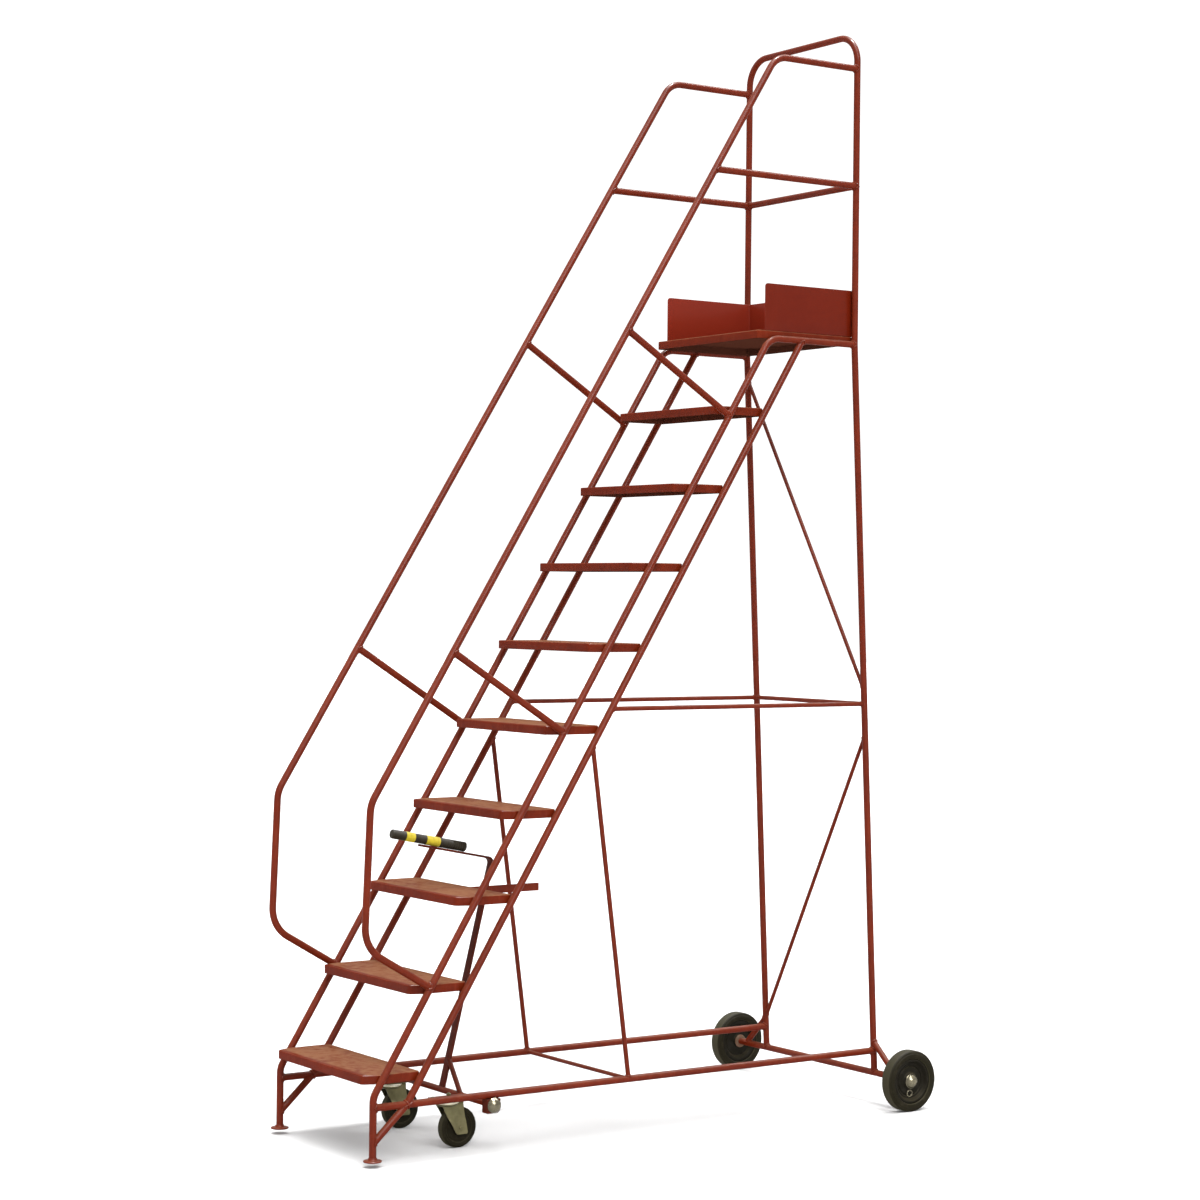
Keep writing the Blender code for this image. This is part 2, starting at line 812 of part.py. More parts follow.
grip_up = LEVER_SHEET / 2 + GAP + grip_r
start = corner + over * grip_up + forward * GRIP_START
end = start + forward * GRIP_LENGTH
grip = lathe(
    "lever_grip",
    [
        (0.0, 0.0),
        (0.0, grip_r - GRIP_REAR_EDGE),
        (GRIP_REAR_EDGE, grip_r),
        *((GRIP_LENGTH - short, grip_r - inset) for short, inset in GRIP_NOSE),
        (GRIP_LENGTH, 0.0),
    ],
    SHAFT_SIDES,
    "grip_rubber",
    False,
)
grip.rotation_mode = "QUATERNION"
grip.rotation_quaternion = Vector((1, 0, 0)).rotation_difference(forward)
grip.location = pivot + start
for piece in (lever, grip):
    carry(piece, rocker)
latch_y = FIRST_NOSE_Y + (LATCH_TREAD - 1) * RUN + TREAD_DEPTH + GAP + PLAN_SHIFT
latch_z = FIRST_TREAD_Z + (LATCH_TREAD - 1) * RISE - LATCH_DROP
prism(
    "latch_bar",
    [
        (latch_y, latch_z - LATCH_H),
        (latch_y + LATCH_LENGTH, latch_z - LATCH_H),
        (latch_y + LATCH_LENGTH, latch_z),
        (latch_y, latch_z),
    ],
    LATCH_X - LATCH_SHEET / 2,
    LATCH_X + LATCH_SHEET / 2,
    in_yz,
)

# Castors
plate_low = SHAFT_Z + CASTOR_PLATE_LIFT
plate_top = plate_low + CASTOR_PLATE_SHEET
plate_back = CASTOR_LEAD - math.sqrt((SHAFT_D / 2 + GAP) ** 2 - CASTOR_PLATE_LIFT**2)
crown_top = plate_low - GAP
fork_in = FORK_GAP / 2
fork_out = fork_in + FORK_SHEET
for side, sign in SIDES:
    swivel = at(sign * CASTOR_X, SHAFT_Y - CASTOR_LEAD, 0.0)
    half = CASTOR_PLATE_W / 2
    plate = prism(
        "castor_plate_" + side,
        [
            (-half, -CASTOR_PLATE_FRONT),
            (half, -CASTOR_PLATE_FRONT),
            (half, plate_back),
            (-half, plate_back),
        ],
        plate_low,
        plate_top,
        in_xy,
    )
    fork = prism(
        "castor_fork_" + side,
        [
            (-fork_out, 0.0),
            (-fork_in, 0.0),
            (-fork_in, crown_top - FORK_CROWN),
            (fork_in, crown_top - FORK_CROWN),
            (fork_in, 0.0),
            (fork_out, 0.0),
            (fork_out, crown_top),
            (-fork_out, crown_top),
        ],
        *FORK_BLANK,
        in_xz,
        "gold_passivate",
    )
    foot_z = CASTOR_R - FORK_FOOT_DROP
    above = crown_top + FORK_SHEET
    profile = [
        (FORK_TOP[0], above),
        (FORK_TOP[0], crown_top - SWIVEL_HEAD_H),
        (CASTOR_TRAIL + FORK_FOOT[0], foot_z),
        (CASTOR_TRAIL + FORK_FOOT[1], foot_z),
        (FORK_TOP[1], crown_top - SWIVEL_HEAD_H),
        (FORK_TOP[1], above),
    ]
    blank = prism(
        "castor_fork_blank_" + side, profile, -FORK_BLANK_HALF, FORK_BLANK_HALF, in_yz, helper=True
    )
    pin_end = fork_out + CASTOR_AXLE_END
    pin = lathe(
        "castor_axle_" + side,
        [
            (-pin_end, 0.0),
            (-pin_end, CASTOR_AXLE_D / 2),
            (pin_end, CASTOR_AXLE_D / 2),
            (pin_end, 0.0),
        ],
        TUBE_SIDES,
        "gold_passivate",
        False,
        helper=True,
    )
    modify(fork, blank, "INTERSECT")
    modify(fork, pin, "UNION")
    head = lathe(
        "swivel_head_" + side,
        [
            (-SWIVEL_HEAD_H, 0.0),
            (-SWIVEL_HEAD_H, SWIVEL_HEAD_D / 2),
            (-CROWN_STEP, SWIVEL_HEAD_D / 2),
            (-CROWN_STEP, 0.0),
        ],
        TURNED_SIDES,
        "gold_passivate",
        False,
        helper=True,
    )
    head.rotation_euler = (0.0, -math.pi / 2, 0.0)
    head.location = swivel + Vector((0.0, 0.0, crown_top))
    modify(fork, head, "UNION")
    hub = fork_in - CASTOR_HUB_PLAY
    hole = (CASTOR_AXLE_D / 2 + GAP) / math.cos(math.pi / TURNED_SIDES)
    tread = CASTOR_W / 2
    wheel = lathe(
        "castor_wheel_" + side,
        [
            (-hub, hole),
            (-hub, CASTOR_HUB_R[0]),
            (-CASTOR_WEB_HALF, CASTOR_HUB_R[1]),
            (-CASTOR_WEB_HALF, CASTOR_R - CASTOR_RIM),
            (-tread, CASTOR_R - CASTOR_WALL[0]),
            (-tread, CASTOR_R - CASTOR_WALL[1]),
            (-tread + CASTOR_SHOULDER[0], CASTOR_R - CASTOR_SHOULDER[1]),
            (-CASTOR_FLAT_HALF, CASTOR_R),
            (CASTOR_FLAT_HALF, CASTOR_R),
            (tread - CASTOR_SHOULDER[0], CASTOR_R - CASTOR_SHOULDER[1]),
            (tread, CASTOR_R - CASTOR_WALL[1]),
            (tread, CASTOR_R - CASTOR_WALL[0]),
            (CASTOR_WEB_HALF, CASTOR_R - CASTOR_RIM),
            (CASTOR_WEB_HALF, CASTOR_HUB_R[1]),
            (hub, CASTOR_HUB_R[0]),
            (hub, hole),
        ],
        TURNED_SIDES,
        "rubber_tyre",
        True,
    )
    for piece in (plate, fork, blank):
        piece.location = swivel
    for piece in (pin, wheel):
        piece.location = swivel + Vector((0.0, CASTOR_TRAIL, CASTOR_R))
    for piece in (plate, fork):
        carry(piece, rocker)
    carry(wheel, fork)
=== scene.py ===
"""Looks of the mobile ladder stand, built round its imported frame.

Every surface is a grid of points worked out with numpy: rows run along a piece and columns run round it.
All places are in metres in the frame's own axes: +Z up, +Y the way up the steps, +X on the climber's right.
"""

import functools
import math
from types import SimpleNamespace

import bpy
import numpy as np
from mathutils import Matrix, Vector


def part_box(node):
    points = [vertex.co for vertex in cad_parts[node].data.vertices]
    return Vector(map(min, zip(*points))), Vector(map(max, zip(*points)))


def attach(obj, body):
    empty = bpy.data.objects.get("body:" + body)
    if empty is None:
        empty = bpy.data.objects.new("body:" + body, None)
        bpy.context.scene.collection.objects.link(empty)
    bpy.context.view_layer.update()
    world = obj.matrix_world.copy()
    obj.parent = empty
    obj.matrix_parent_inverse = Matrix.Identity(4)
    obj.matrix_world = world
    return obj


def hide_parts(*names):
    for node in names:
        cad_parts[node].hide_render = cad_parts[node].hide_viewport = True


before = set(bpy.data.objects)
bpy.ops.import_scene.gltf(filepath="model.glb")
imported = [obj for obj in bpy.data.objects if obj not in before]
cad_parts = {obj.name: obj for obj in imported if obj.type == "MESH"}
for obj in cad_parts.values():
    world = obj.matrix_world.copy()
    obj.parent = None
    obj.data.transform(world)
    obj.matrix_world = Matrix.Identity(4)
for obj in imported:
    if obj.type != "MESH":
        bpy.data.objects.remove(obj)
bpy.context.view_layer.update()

bl_info = {
    "name": "Mobile ladder stand",
    "version": (1, 0, 0),
    "blender": (4, 5, 0),
    "location": "View3D > Sidebar > Ladder",
    "description": "Builds the painted tubes, treads, wheels, lever and castors of a mobile ladder stand",
    "category": "Add Mesh",
}

SIDES = (("left", -1.0), ("right", 1.0))
X_AXIS = np.array((1.0, 0.0, 0.0))
Y_AXIS = np.array((0.0, 1.0, 0.0))
Z_AXIS = np.array((0.0, 0.0, 1.0))
WAYS = (-1.0, 1.0)
# Gap left between pieces that sit on each other.
GAP = 0.0003
# Depth of a leg in its foot.
FOOT_DEPTH = 0.004
# Longest step between two circles of a frame tube.
TUBE_STEP = 0.25
# Bend radii, each list from the foot up.
STRINGER_BENDS = (0.060, 0.070)
HANDRAIL_BENDS = (0.105, 0.100, 0.080)
POST_BEND = 0.200
# Corner radii of the pans in plan: cut corner's front and rear end, then the back corner.
TREAD_CORNERS = (0.012, 0.014, 0.008)
DECK_CORNERS = (0.005, 0.005, 0.0085)
# How far the deck's front corners are cut in from its sides, and back.
DECK_CUT = (0.006, 0.006)
# Start and end of each yellow band, along the grip.
GRIP_BANDS = ((0.0975, 0.1465), (0.1890, 0.2210))


def length(name, about, default):
    """A length that a user can change."""
    return bpy.props.FloatProperty(
        name=name, description=about, default=default, min=0.0, precision=4, unit="LENGTH"
    )


def tint(name, about, default):
    """A colour that a user can change."""
    return bpy.props.FloatVectorProperty(
        name=name, description=about, default=default, size=3, min=0.0, max=1.0, subtype="COLOR"
    )


def angle(name, about, degrees):
    """An angle that a user can change."""
    return bpy.props.FloatProperty(
        name=name, description=about, default=math.radians(degrees), subtype="ANGLE"
    )


class LadderFrameSizes(bpy.types.PropertyGroup):
    """Sizes of the welded frame."""

    rise: length("Rise", "Height from one tread to the next", 0.254)
    run: length("Run", "Distance from one nose to the next", 0.1586)
    treads: bpy.props.IntProperty(name="Treads", description="Steps below the platform", default=9, min=1)
    first_tread: length("First tread", "Height of the lowest tread's top", 0.2672)
    nose: length("Nose", "How far the lowest nose stands in front of the leg", 0.0245)
    setback: length("Front setback", "Nose to the front stringer's axis, level", 0.0633)
    rear_setback: length("Rear setback", "Nose to the rear stringer's axis, level", 0.1973)
    tread_depth: length("Tread depth", "Nose to rear lip", 0.1905)
    tread_lip: length("Tread lip", "Height of a tread's folded edge", 0.027)
    corner_in: length("Corner width", "How far a tread's front corners are cut in from its sides", 0.018)
    corner_back: length("Corner length", "How far a tread's front corners are cut back", 0.045)
    tread_sag: length("Tread sag", "How far a trodden tread has sunk in its middle", 0.0020)
    sheet: length("Sheet", "Thickness of tread and deck sheet", 0.0025)
    fold: length("Fold", "Outside radius where sheet is folded", 0.0036)
    half_width: length("Half width", "Middle of the stand to a side frame's tube axis", 0.291)
    tube: length("Tube", "Diameter of the main tube", 0.022)
    brace: length("Brace", "Diameter of the light brace tube", 0.015)
    stay: length("Axle stay", "Diameter of the axle stays", 0.020)
    diagonal: length("Diagonal", "Diameter of the thin diagonal rods", 0.013)
    base_rail: length("Base rail", "Height of the base rails", 0.174)
    foot_strut: length("Foot strut", "Height where the foot strut meets the leg", 0.0685)
    mid_bar: length("Middle bar", "Height of the level middle bars", 1.334)
    upright_foot: length("Upright foot", "Distance of the middle upright behind the leg", 0.918)
    upright_top: length("Upright top", "Height of the middle upright's top", 1.223)
    stay_top: length("Stay top", "Height where an axle stay meets its post", 0.2055)
    stay_out: length("Stay foot", "Side frame to the outer end of an axle stay", 0.1145)
    brace_top: length("Brace top", "Side tube down to the upper diagonal's high end", 0.081)
    brace_over: length("Brace over bar", "Middle bar up to the upper diagonal's low end", 0.046)
    brace_under: length("Brace under bar", "Middle bar down to the lower diagonal's high end", 0.104)
    brace_foot: length("Brace foot", "Base rail up to the lower diagonal's low end", 0.033)
    platform: length("Platform", "Length of the platform", 0.3953)
    deck_gap: length("Deck gap", "How far the deck's front lies behind the line of the noses", 0.0082)
    deck_sag: length("Deck sag", "How far the deck has sunk in its middle", 0.0014)
    side_drop: length("Side tube drop", "Deck top to the axis of the tubes beside it", 0.0262)
    deck_lip: length("Deck lip", "Height of the deck's folded edge", 0.027)
    toe_board: length("Toe board", "Height of the toe board", 0.153)
    toe_sheet: length("Toe board sheet", "Thickness of the toe board", 0.003)
    toe_left: length("Left arm", "Deck front to the toe board's left arm", 0.041)
    toe_right: length("Right arm", "Deck front to the toe board's right arm", 0.028)
    toe_round: length("Arm corner", "Radius of the upper corners of the toe board's arms", 0.010)
    hoop: length("Hoop", "Height of the rear hoop over the deck", 1.0023)
    hoop_bend: length("Hoop bend", "Bend radius of the rear hoop", 0.090)
    knee: length("Knee rail", "Height of the knee rails over the deck", 0.4998)
    rake: length("Post rake", "How far the posts lean back to the axle", 0.118)
    handrail: length("Handrail", "Height of the level handrail over the deck", 0.8883)
    handrail_offset: length("Handrail offset", "Square distance from stringer to handrail", 0.4719)
    handrail_foot: length("Handrail foot", "Height where a handrail meets its stringer", 0.513)
    handrail_low: length("Handrail low bend", "Height of a handrail's lowest bend", 0.6454)
    handrail_front: length("Handrail front", "How far a handrail stands in front of the leg", 0.0344)
    handrail_turn: length("Handrail turn", "Height of the bend into a handrail's slope", 1.067)
    strut_lower: length("Lower strut", "Height of the lower struts on the handrails", 1.5137)
    strut_upper: length("Upper strut", "Height of the upper struts on the handrails", 2.517)
    bead: length("Weld bead", "Radius of the weld beads on main tube", 0.0036)


class LadderWheelSizes(bpy.types.PropertyGroup):
    """Sizes of the wheels and castors."""

    wheel: length("Wheel", "Radius of a rear wheel", 0.100)
    wheel_plane: length("Wheel plane", "Middle of the stand to a rear wheel's middle", 0.464)
    tyre_width: length("Tyre width", "Width of a rear tyre", 0.045)
    tyre_depth: length("Tyre depth", "Depth of a rear tyre", 0.026)
    axle: length("Axle", "Radius of the axle's ends", 0.010)
    eyelet_drop: length("Eyelet drop", "Hub to the eyelet in a rear wheel's web", 0.0415)
    castor: length("Castor", "Radius of a castor wheel", 0.0625)
    castor_x: length("Castor spacing", "Middle of the stand to a castor's swivel", 0.173)
    castor_trail: length("Castor trail", "Swivel axis to castor axle", 0.038)
    castor_lead: length("Castor lead", "Rocking shaft to swivel axis", 0.087)
    fork_gap: length("Fork gap", "Gap between a fork's legs", 0.041)
    fork_sheet: length("Fork sheet", "Thickness of a fork", 0.0026)


class LadderLeverSizes(bpy.types.PropertyGroup):
    """Sizes of the rocking shaft and of the lever that turns it."""

    shaft_back: length("Shaft place", "Front leg to the rocking shaft", 0.411)
    shaft: length("Shaft", "Radius of the rocking shaft", 0.010)
    shaft_end: length("Shaft end", "How far the shaft passes the side frames' axes", 0.015)
    block_half: length("Block half", "Half the length of a bearing block", 0.024)
    block_top: length("Block top", "Shaft axis to a bearing block's top", 0.019)
    block_low: length("Block underside", "Shaft axis to a bearing block's underside", 0.0245)
    block_width: length("Block width", "Width of a bearing block", 0.030)
    plate_lift: length("Plate lift", "Shaft axis to the underside of the castors' plates", 0.0043)
    rod: length("Brace rod", "Radius of the lever's brace rod", 0.0080)
    rod_top: length("Rod top", "Shaft axis to the rod's upper end, up the lever", 0.096)
    rod_foot: length("Rod foot", "Middle of the stand to the rod's foot", 0.115)
    lean: angle("Lean", "How far the lever leans back", 13.85)
    rise: angle("Handle rise", "How far the handle rises to its end", 11.2)
    top: length("Lever top", "Height of the lever's bend", 0.8562)
    width: length("Bar width", "Width of the lever's flat bar", 0.030)
    thick: length("Bar thickness", "Thickness of the lever's flat bar", 0.0072)
    bend: length("Bar bend", "Bend radius of the lever", 0.018)
    handle: length("Handle", "Length of the bar under the grip", 0.266)
    grip_start: length("Grip start", "Lever bend to grip", 0.106)
    grip: length("Grip", "Length of the grip", 0.270)
    grip_width: length("Grip diameter", "Diameter of the grip", 0.031)


class LadderFinishes(bpy.types.PropertyGroup):
    """Colours of the finishes."""

    red: tint("Red enamel", "Oxide-red enamel on tube and sheet", (0.117, 0.0124, 0.0030))
    red_deep: tint("Deep red", "Enamel where it is thick or shaded by grime", (0.088, 0.0092, 0.0023))
    red_worn: tint("Worn red", "Enamel rubbed thin by hands", (0.134, 0.0200, 0.0072))
    # Painted light: a lighter red on all of the toe board but its right arm's outer face.
    red_painted_light: tint("Fresh red", "Enamel that neither hands nor weather reach", (0.176, 0.0168, 0.0070))
    # Painted shade: the red of faces that look down or into a tread's or the deck's pan.
    pan_painted_shade: tint("Shaded red", "Enamel under treads and deck", (0.055, 0.0175, 0.0105))
    # Dust on upward faces, also a painted highlight of light falling from above.
    dust_and_sheen: tint("Dust", "Dry dust on upward faces", (0.178, 0.080, 0.043))
    chip: tint("Chip", "Bare steel in a chip", (0.030, 0.020, 0.016))
    # Toe board red: left only on the right arm's outer face, darker than the painted light elsewhere.
    board: tint("Board red", "Enamel of the toe board", (0.096, 0.0068, 0.0009))
    board_deep: tint("Deep board red", "Thick enamel of the toe board", (0.088, 0.0060, 0.0008))
    # Painted shade: darker reds, with their dust, for the lever and the bearing blocks.
    painted_shade_red: tint("Oily red", "Enamel darkened by oily hands", (0.078, 0.0120, 0.0055))
    painted_shade_deep: tint("Deep oily red", "Oily enamel where grime is thick", (0.044, 0.0085, 0.0045))
    painted_shade_worn: tint("Worn oily red", "Oily enamel rubbed thin", (0.094, 0.0220, 0.0110))
    painted_shade_dust_and_sheen: tint("Oily dust", "Dust caught in oil", (0.085, 0.042, 0.027))
    rubber: tint("Rubber", "Black rubber", (0.0108, 0.0090, 0.0044))
    rubber_dust: tint("Rubber dust", "Dust rubbed into black rubber", (0.026, 0.0218, 0.0125))
    rolled: tint("Rolled dust", "Dust on the band that rolls on the floor", (0.046, 0.041, 0.024))
    centre: tint("Wheel centre", "Moulded wheel centre", (0.0080, 0.0068, 0.0040))
    centre_worn: tint("Worn centre", "Handling marks on a wheel centre", (0.019, 0.017, 0.014))
    zinc: tint("Zinc", "Bright plated caps and eyelets", (0.160, 0.143, 0.096))
    zinc_dark: tint("Dark zinc", "Clouds in the bright plating", (0.094, 0.083, 0.056))
    gold: tint("Passivate", "Olive-gold plated castor steel", (0.142, 0.128, 0.064))
    gold_dark: tint("Dark passivate", "Clouds in the olive-gold plating", (0.094, 0.084, 0.041))
    race: tint("Race", "Polished swivel race", (0.80, 0.76, 0.62))
    race_dark: tint("Dark race", "Clouds in the race's polish", (0.54, 0.50, 0.37))
    grip: tint("Grip black", "Black of the grip", (0.0165, 0.0122, 0.0066))
    yellow: tint("Yellow", "Yellow bands of the grip", (0.42, 0.33, 0.018))
    yellow_worn: tint("Grubby yellow", "Yellow bands where hands hold them", (0.22, 0.16, 0.015))
    bush: tint("Bush", "Pale bearing bush", (0.120, 0.066, 0.042))
    bush_dark: tint("Grubby bush", "Greasy patches on a bush", (0.10, 0.075, 0.05))
    floor: tint("Floor", "Pale studio floor", (0.56, 0.56, 0.56))
    floor_dark: tint("Floor clouds", "Darker clouds in the floor", (0.53, 0.53, 0.53))


class LadderStage(bpy.types.PropertyGroup):
    """Camera and light."""

    lens: bpy.props.FloatProperty(name="Lens", description="Focal length in mm", default=80.246)
    yaw: angle("Yaw", "Camera heading", 55.4534)
    pitch: angle("Pitch", "Camera tilt", -0.14396)
    roll: angle("Roll", "Camera roll", 0.57618)
    eye: bpy.props.FloatVectorProperty(
        name="Eye", description="Camera place", default=(7.13036, -4.90822, 1.69369), size=3, unit="LENGTH"
    )


def unit(v):
    """Vectors brought to length one."""
    v = np.asarray(v, float)
    return v / np.linalg.norm(v, axis=-1, keepdims=True)


def turn_of(count):
    """Angles that part a full turn into equal steps."""
    return np.linspace(0.0, 2.0 * math.pi, count, endpoint=False)


def circle(axis, ref, count):
    """Unit circle square to an axis: cos * across + sin * up, with up kept near ref."""
    up = unit(ref - (ref @ axis) * axis)
    t = turn_of(count)[:, None]
    return np.cos(t) * np.cross(up, axis) + np.sin(t) * up


def bent(corners, radii, step=4.0):
    """A path through corner points in which each inner corner is an arc of the given radius."""
    corners = np.asarray(corners, float)
    parts = [corners[:1]]
    for before, corner, after, radius in zip(corners, corners[1:], corners[2:], radii):
        a, b = unit(before - corner), unit(after - corner)
        half = 0.5 * math.acos(float(np.clip(a @ b, -1.0, 1.0)))
        if radius <= 0.0 or half > 0.5 * math.pi - 1e-6:
            parts.append(corner[None])
            continue
        bisector = unit(a + b)
        middle = corner + bisector * radius / math.sin(half)
        turn = 0.5 * math.pi - half
        count = max(2, int(math.ceil(math.degrees(2.0 * turn) / step)) + 1)
        t = np.linspace(-turn, turn, count)[:, None]
        side = unit(b - a)
        parts.append(middle + radius * (side * np.sin(t) - bisector * np.cos(t)))
    parts.append(corners[-1:])
    return np.concatenate(parts)


def spread(path, most):
    """The path with points added on its straight runs, so that no step is longer than most."""
    path = np.asarray(path, float)
    steps = np.linalg.norm(np.diff(path, axis=0), axis=1)
    counts = np.maximum(1, np.ceil(steps / most).astype(int))
    index = np.repeat(np.arange(len(steps)), counts)
    share = np.arange(len(index)) - np.repeat(np.cumsum(counts) - counts, counts)
    share = share / counts[index]
    inner = path[index] + (path[index + 1] - path[index]) * share[:, None]
    return np.concatenate([inner, path[-1:]])


class Shape:
    """Closed grids of points gathered into one mesh."""

    def __init__(self):
        self.points = []
        self.faces = []
        self.count = 0

    def grid(self, points, ring=False):
        """Adds a grid whose columns close on themselves.

        The rows close too if ring is set; otherwise the first and last row shrink to poles.
        Faces are turned round if the volume they hold comes out negative.
        """
        points = np.asarray(points, float)
        rows, columns = points.shape[:2]
        index = np.arange(rows * columns).reshape(rows, columns)
        if not ring:
            index[0] = index[0, 0]
            index[-1] = index[-1, 0]
        near = np.concatenate([index, index[:1]]) if ring else index
        a, d = near[:-1], near[1:]
        b, c = np.roll(a, -1, axis=1), np.roll(d, -1, axis=1)
        quads = np.stack([a, b, c, d], axis=-1).reshape(-1, 4)
        flat = points.reshape(-1, 3)
        low = flat - flat.mean(axis=0)
        p, q, r, s = (low[quads[:, k]] for k in range(4))
        volume = (p * np.cross(q, r)).sum() + (p * np.cross(r, s)).sum()
        if volume < 0.0:
            quads = quads[:, ::-1]
        used, inverse = np.unique(quads, return_inverse=True)
        quads = inverse.reshape(-1, 4)
        keep = [quads[:, k] != quads[:, (k + 1) % 4] for k in range(4)]
        self.faces.append((quads + self.count, np.stack(keep, axis=1)))
        self.points.append(flat[used])
        self.count += len(used)
        return self

    def turned(self, profile, rounds, centre, axis, sides=72, step=12.0, ring=False):
        """Adds a profile turned about an axis; a ring's profile closes on itself."""
        return self.grid(turned_grid(profile, rounds, centre, axis, sides, step, ring), ring)

    def mesh(self, name, crease):
        """A Blender mesh of all grids, smooth except at edges sharper than the crease angle."""
        points = np.concatenate(self.points)
        quads = np.concatenate([f for f, _ in self.faces])
        keep = np.concatenate([k for _, k in self.faces])
        sizes = keep.sum(axis=1)
        keep, quads, sizes = keep[sizes > 2], quads[sizes > 2], sizes[sizes > 2]
        corners = quads[keep]
        mesh = bpy.data.meshes.new(name)
        mesh.vertices.add(len(points))
        mesh.vertices.foreach_set("co", points.astype(np.float32).ravel())
        mesh.loops.add(len(corners))
        mesh.loops.foreach_set("vertex_index", corners.astype(np.int32))
        mesh.polygons.add(len(sizes))
        mesh.polygons.foreach_set("loop_start", (np.cumsum(sizes) - sizes).astype(np.int32))
        mesh.update(calc_edges=True)
        mesh.validate()
        mesh.polygons.foreach_set("use_smooth", np.ones(len(sizes), bool))
        mesh.set_sharp_from_angle(angle=math.radians(crease))
        return mesh


def piece(name, shape, finish, body, stands_for=(), crease=35.0):
    """Puts a shape into the scene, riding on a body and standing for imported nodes."""
    mesh = shape.mesh(name, crease)
    mesh.materials.append(finish)
    obj = bpy.data.objects.new(name, mesh)
    bpy.context.scene.collection.objects.link(obj)
    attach(obj, body)
    if stands_for:
        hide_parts(*stands_for)


def reach(points, way, wall):
    """Distance along the way from each point to the near side of a round wall.

    The wall is a cylinder (point, direction, radius); a line that passes it by stops beside its axis.
    """
    at, along, radius = wall
    from_axis = points - at
    from_axis = from_axis - (from_axis @ along)[..., None] * along
    across = way - (way @ along) * along
    a = across @ across
    b = from_axis @ across
    c = (from_axis * from_axis).sum(axis=-1) - radius * radius
    return (-b - np.sqrt(np.maximum(b * b - a * c, 0.0))) / a


def hoops(path, ref, sides):
    """Unit circles square to a path: each is cos * across + sin * up, with up kept near ref."""
    step = unit(np.diff(path, axis=0))
    tangent = unit(np.concatenate([step[:1], step[:-1] + step[1:], step[-1:]]))
    up = unit(ref - (tangent @ ref)[:, None] * tangent)
    across = np.cross(up, tangent)
    t = turn_of(sides)[None, :, None]
    return tangent, np.cos(t) * across[:, None] + np.sin(t) * up[:, None]


def tube_grid(path, radius, ref, walls=(None, None), sides=36, sink=0.0004):
    """A circle carried along a path, with each end cut to sit on its neighbour's round wall."""
    path = np.asarray(path, float)
    tangent, rounds = hoops(path, ref, sides)
    rows = path[:, None] + radius * rounds
    ends = []
    for k, wall in zip((0, -1), walls):
        way = tangent[k] * (1.0 if k else -1.0)
        share = np.array((0.0, 0.45, 0.8, 1.0))[:, None, None]
        cap = path[k] + share * radius * rounds[k][None]
        if wall is not None:
            cap = cap + (reach(cap, way, wall) + sink)[..., None] * way
        ends.append(cap)
    return np.concatenate([ends[0], rows[1:-1], ends[1][::-1]])


def bead_grid(end, way, radius, ref, wall, size, turns=108, sides=9):
    """A rippled weld bead: a small circle carried round the line where a tube meets a wall."""
    way = unit(way)
    t = turn_of(turns)[:, None]
    out = circle(way, ref, turns)
    line = end + radius * out
    line = line + reach(line, way, wall)[:, None] * way
    phase = 37.0 * (end @ np.array((1.0, 1.7, 2.3)))
    ripple = 1.0 + 0.10 * np.sin(27.0 * t + phase) + 0.12 * np.sin(3.0 * t + 2.0 * phase)
    ripple = ripple + 0.07 * np.sin(7.0 * t - phase)
    s = turn_of(sides)[None, :, None]
    return line[:, None] + size * ripple[:, None] * (np.cos(s) * out[:, None] - np.sin(s) * way)


def straight_bead(middle, half, size, count):
    """A straight weld bead: a small circle carried along X to half each way from its middle."""
    line = middle + np.linspace(-half, half, count)[:, None] * X_AXIS
    return tube_grid(line, size, Z_AXIS, sides=10)


def mirrored(half):
    """A profile of (along, radius) points and its mirror image; the last point lies on the mirror."""
    return half + [(-along, radius) for along, radius in reversed(half[:-1])]


def turned_grid(profile, rounds, centre, axis, sides, step, ring):
    """A profile of (along, radius) points with rounded corners, turned about an axis."""
    profile = np.asarray(profile, float)
    flat = np.column_stack([profile, np.zeros(len(profile))])
    if ring:
        flat = np.concatenate([flat[-1:], flat, flat[:1]])
        rounded = bent(flat, rounds, step)[1:-1]
    else:
        rounded = bent(flat, rounds, step)
    axis = unit(axis)
    ref = Z_AXIS if abs(axis[2]) < 0.9 else X_AXIS
    along, radius = rounded[:, 0, None, None], rounded[:, 1, None, None]
    return np.asarray(centre, float) + along * axis + radius * circle(axis, ref, sides)


def sheet_outline(corners, radii, most=0.022):
    """Plan of a sheet: a closed line with rounded corners, and the outward normal at each point."""
    corners = np.column_stack([np.asarray(corners, float), np.zeros(len(corners))])
    begin = 0.5 * (corners[-1:] + corners[:1])
    line = bent(np.concatenate([begin, corners, begin]), radii, 9.0)
    line = spread(line, most)[:-1, :2]
    step = unit(np.roll(line, -1, axis=0) - line)
    along = unit(step + np.roll(step, 1, axis=0))
    return line, np.column_stack([along[:, 1], -along[:, 0]])


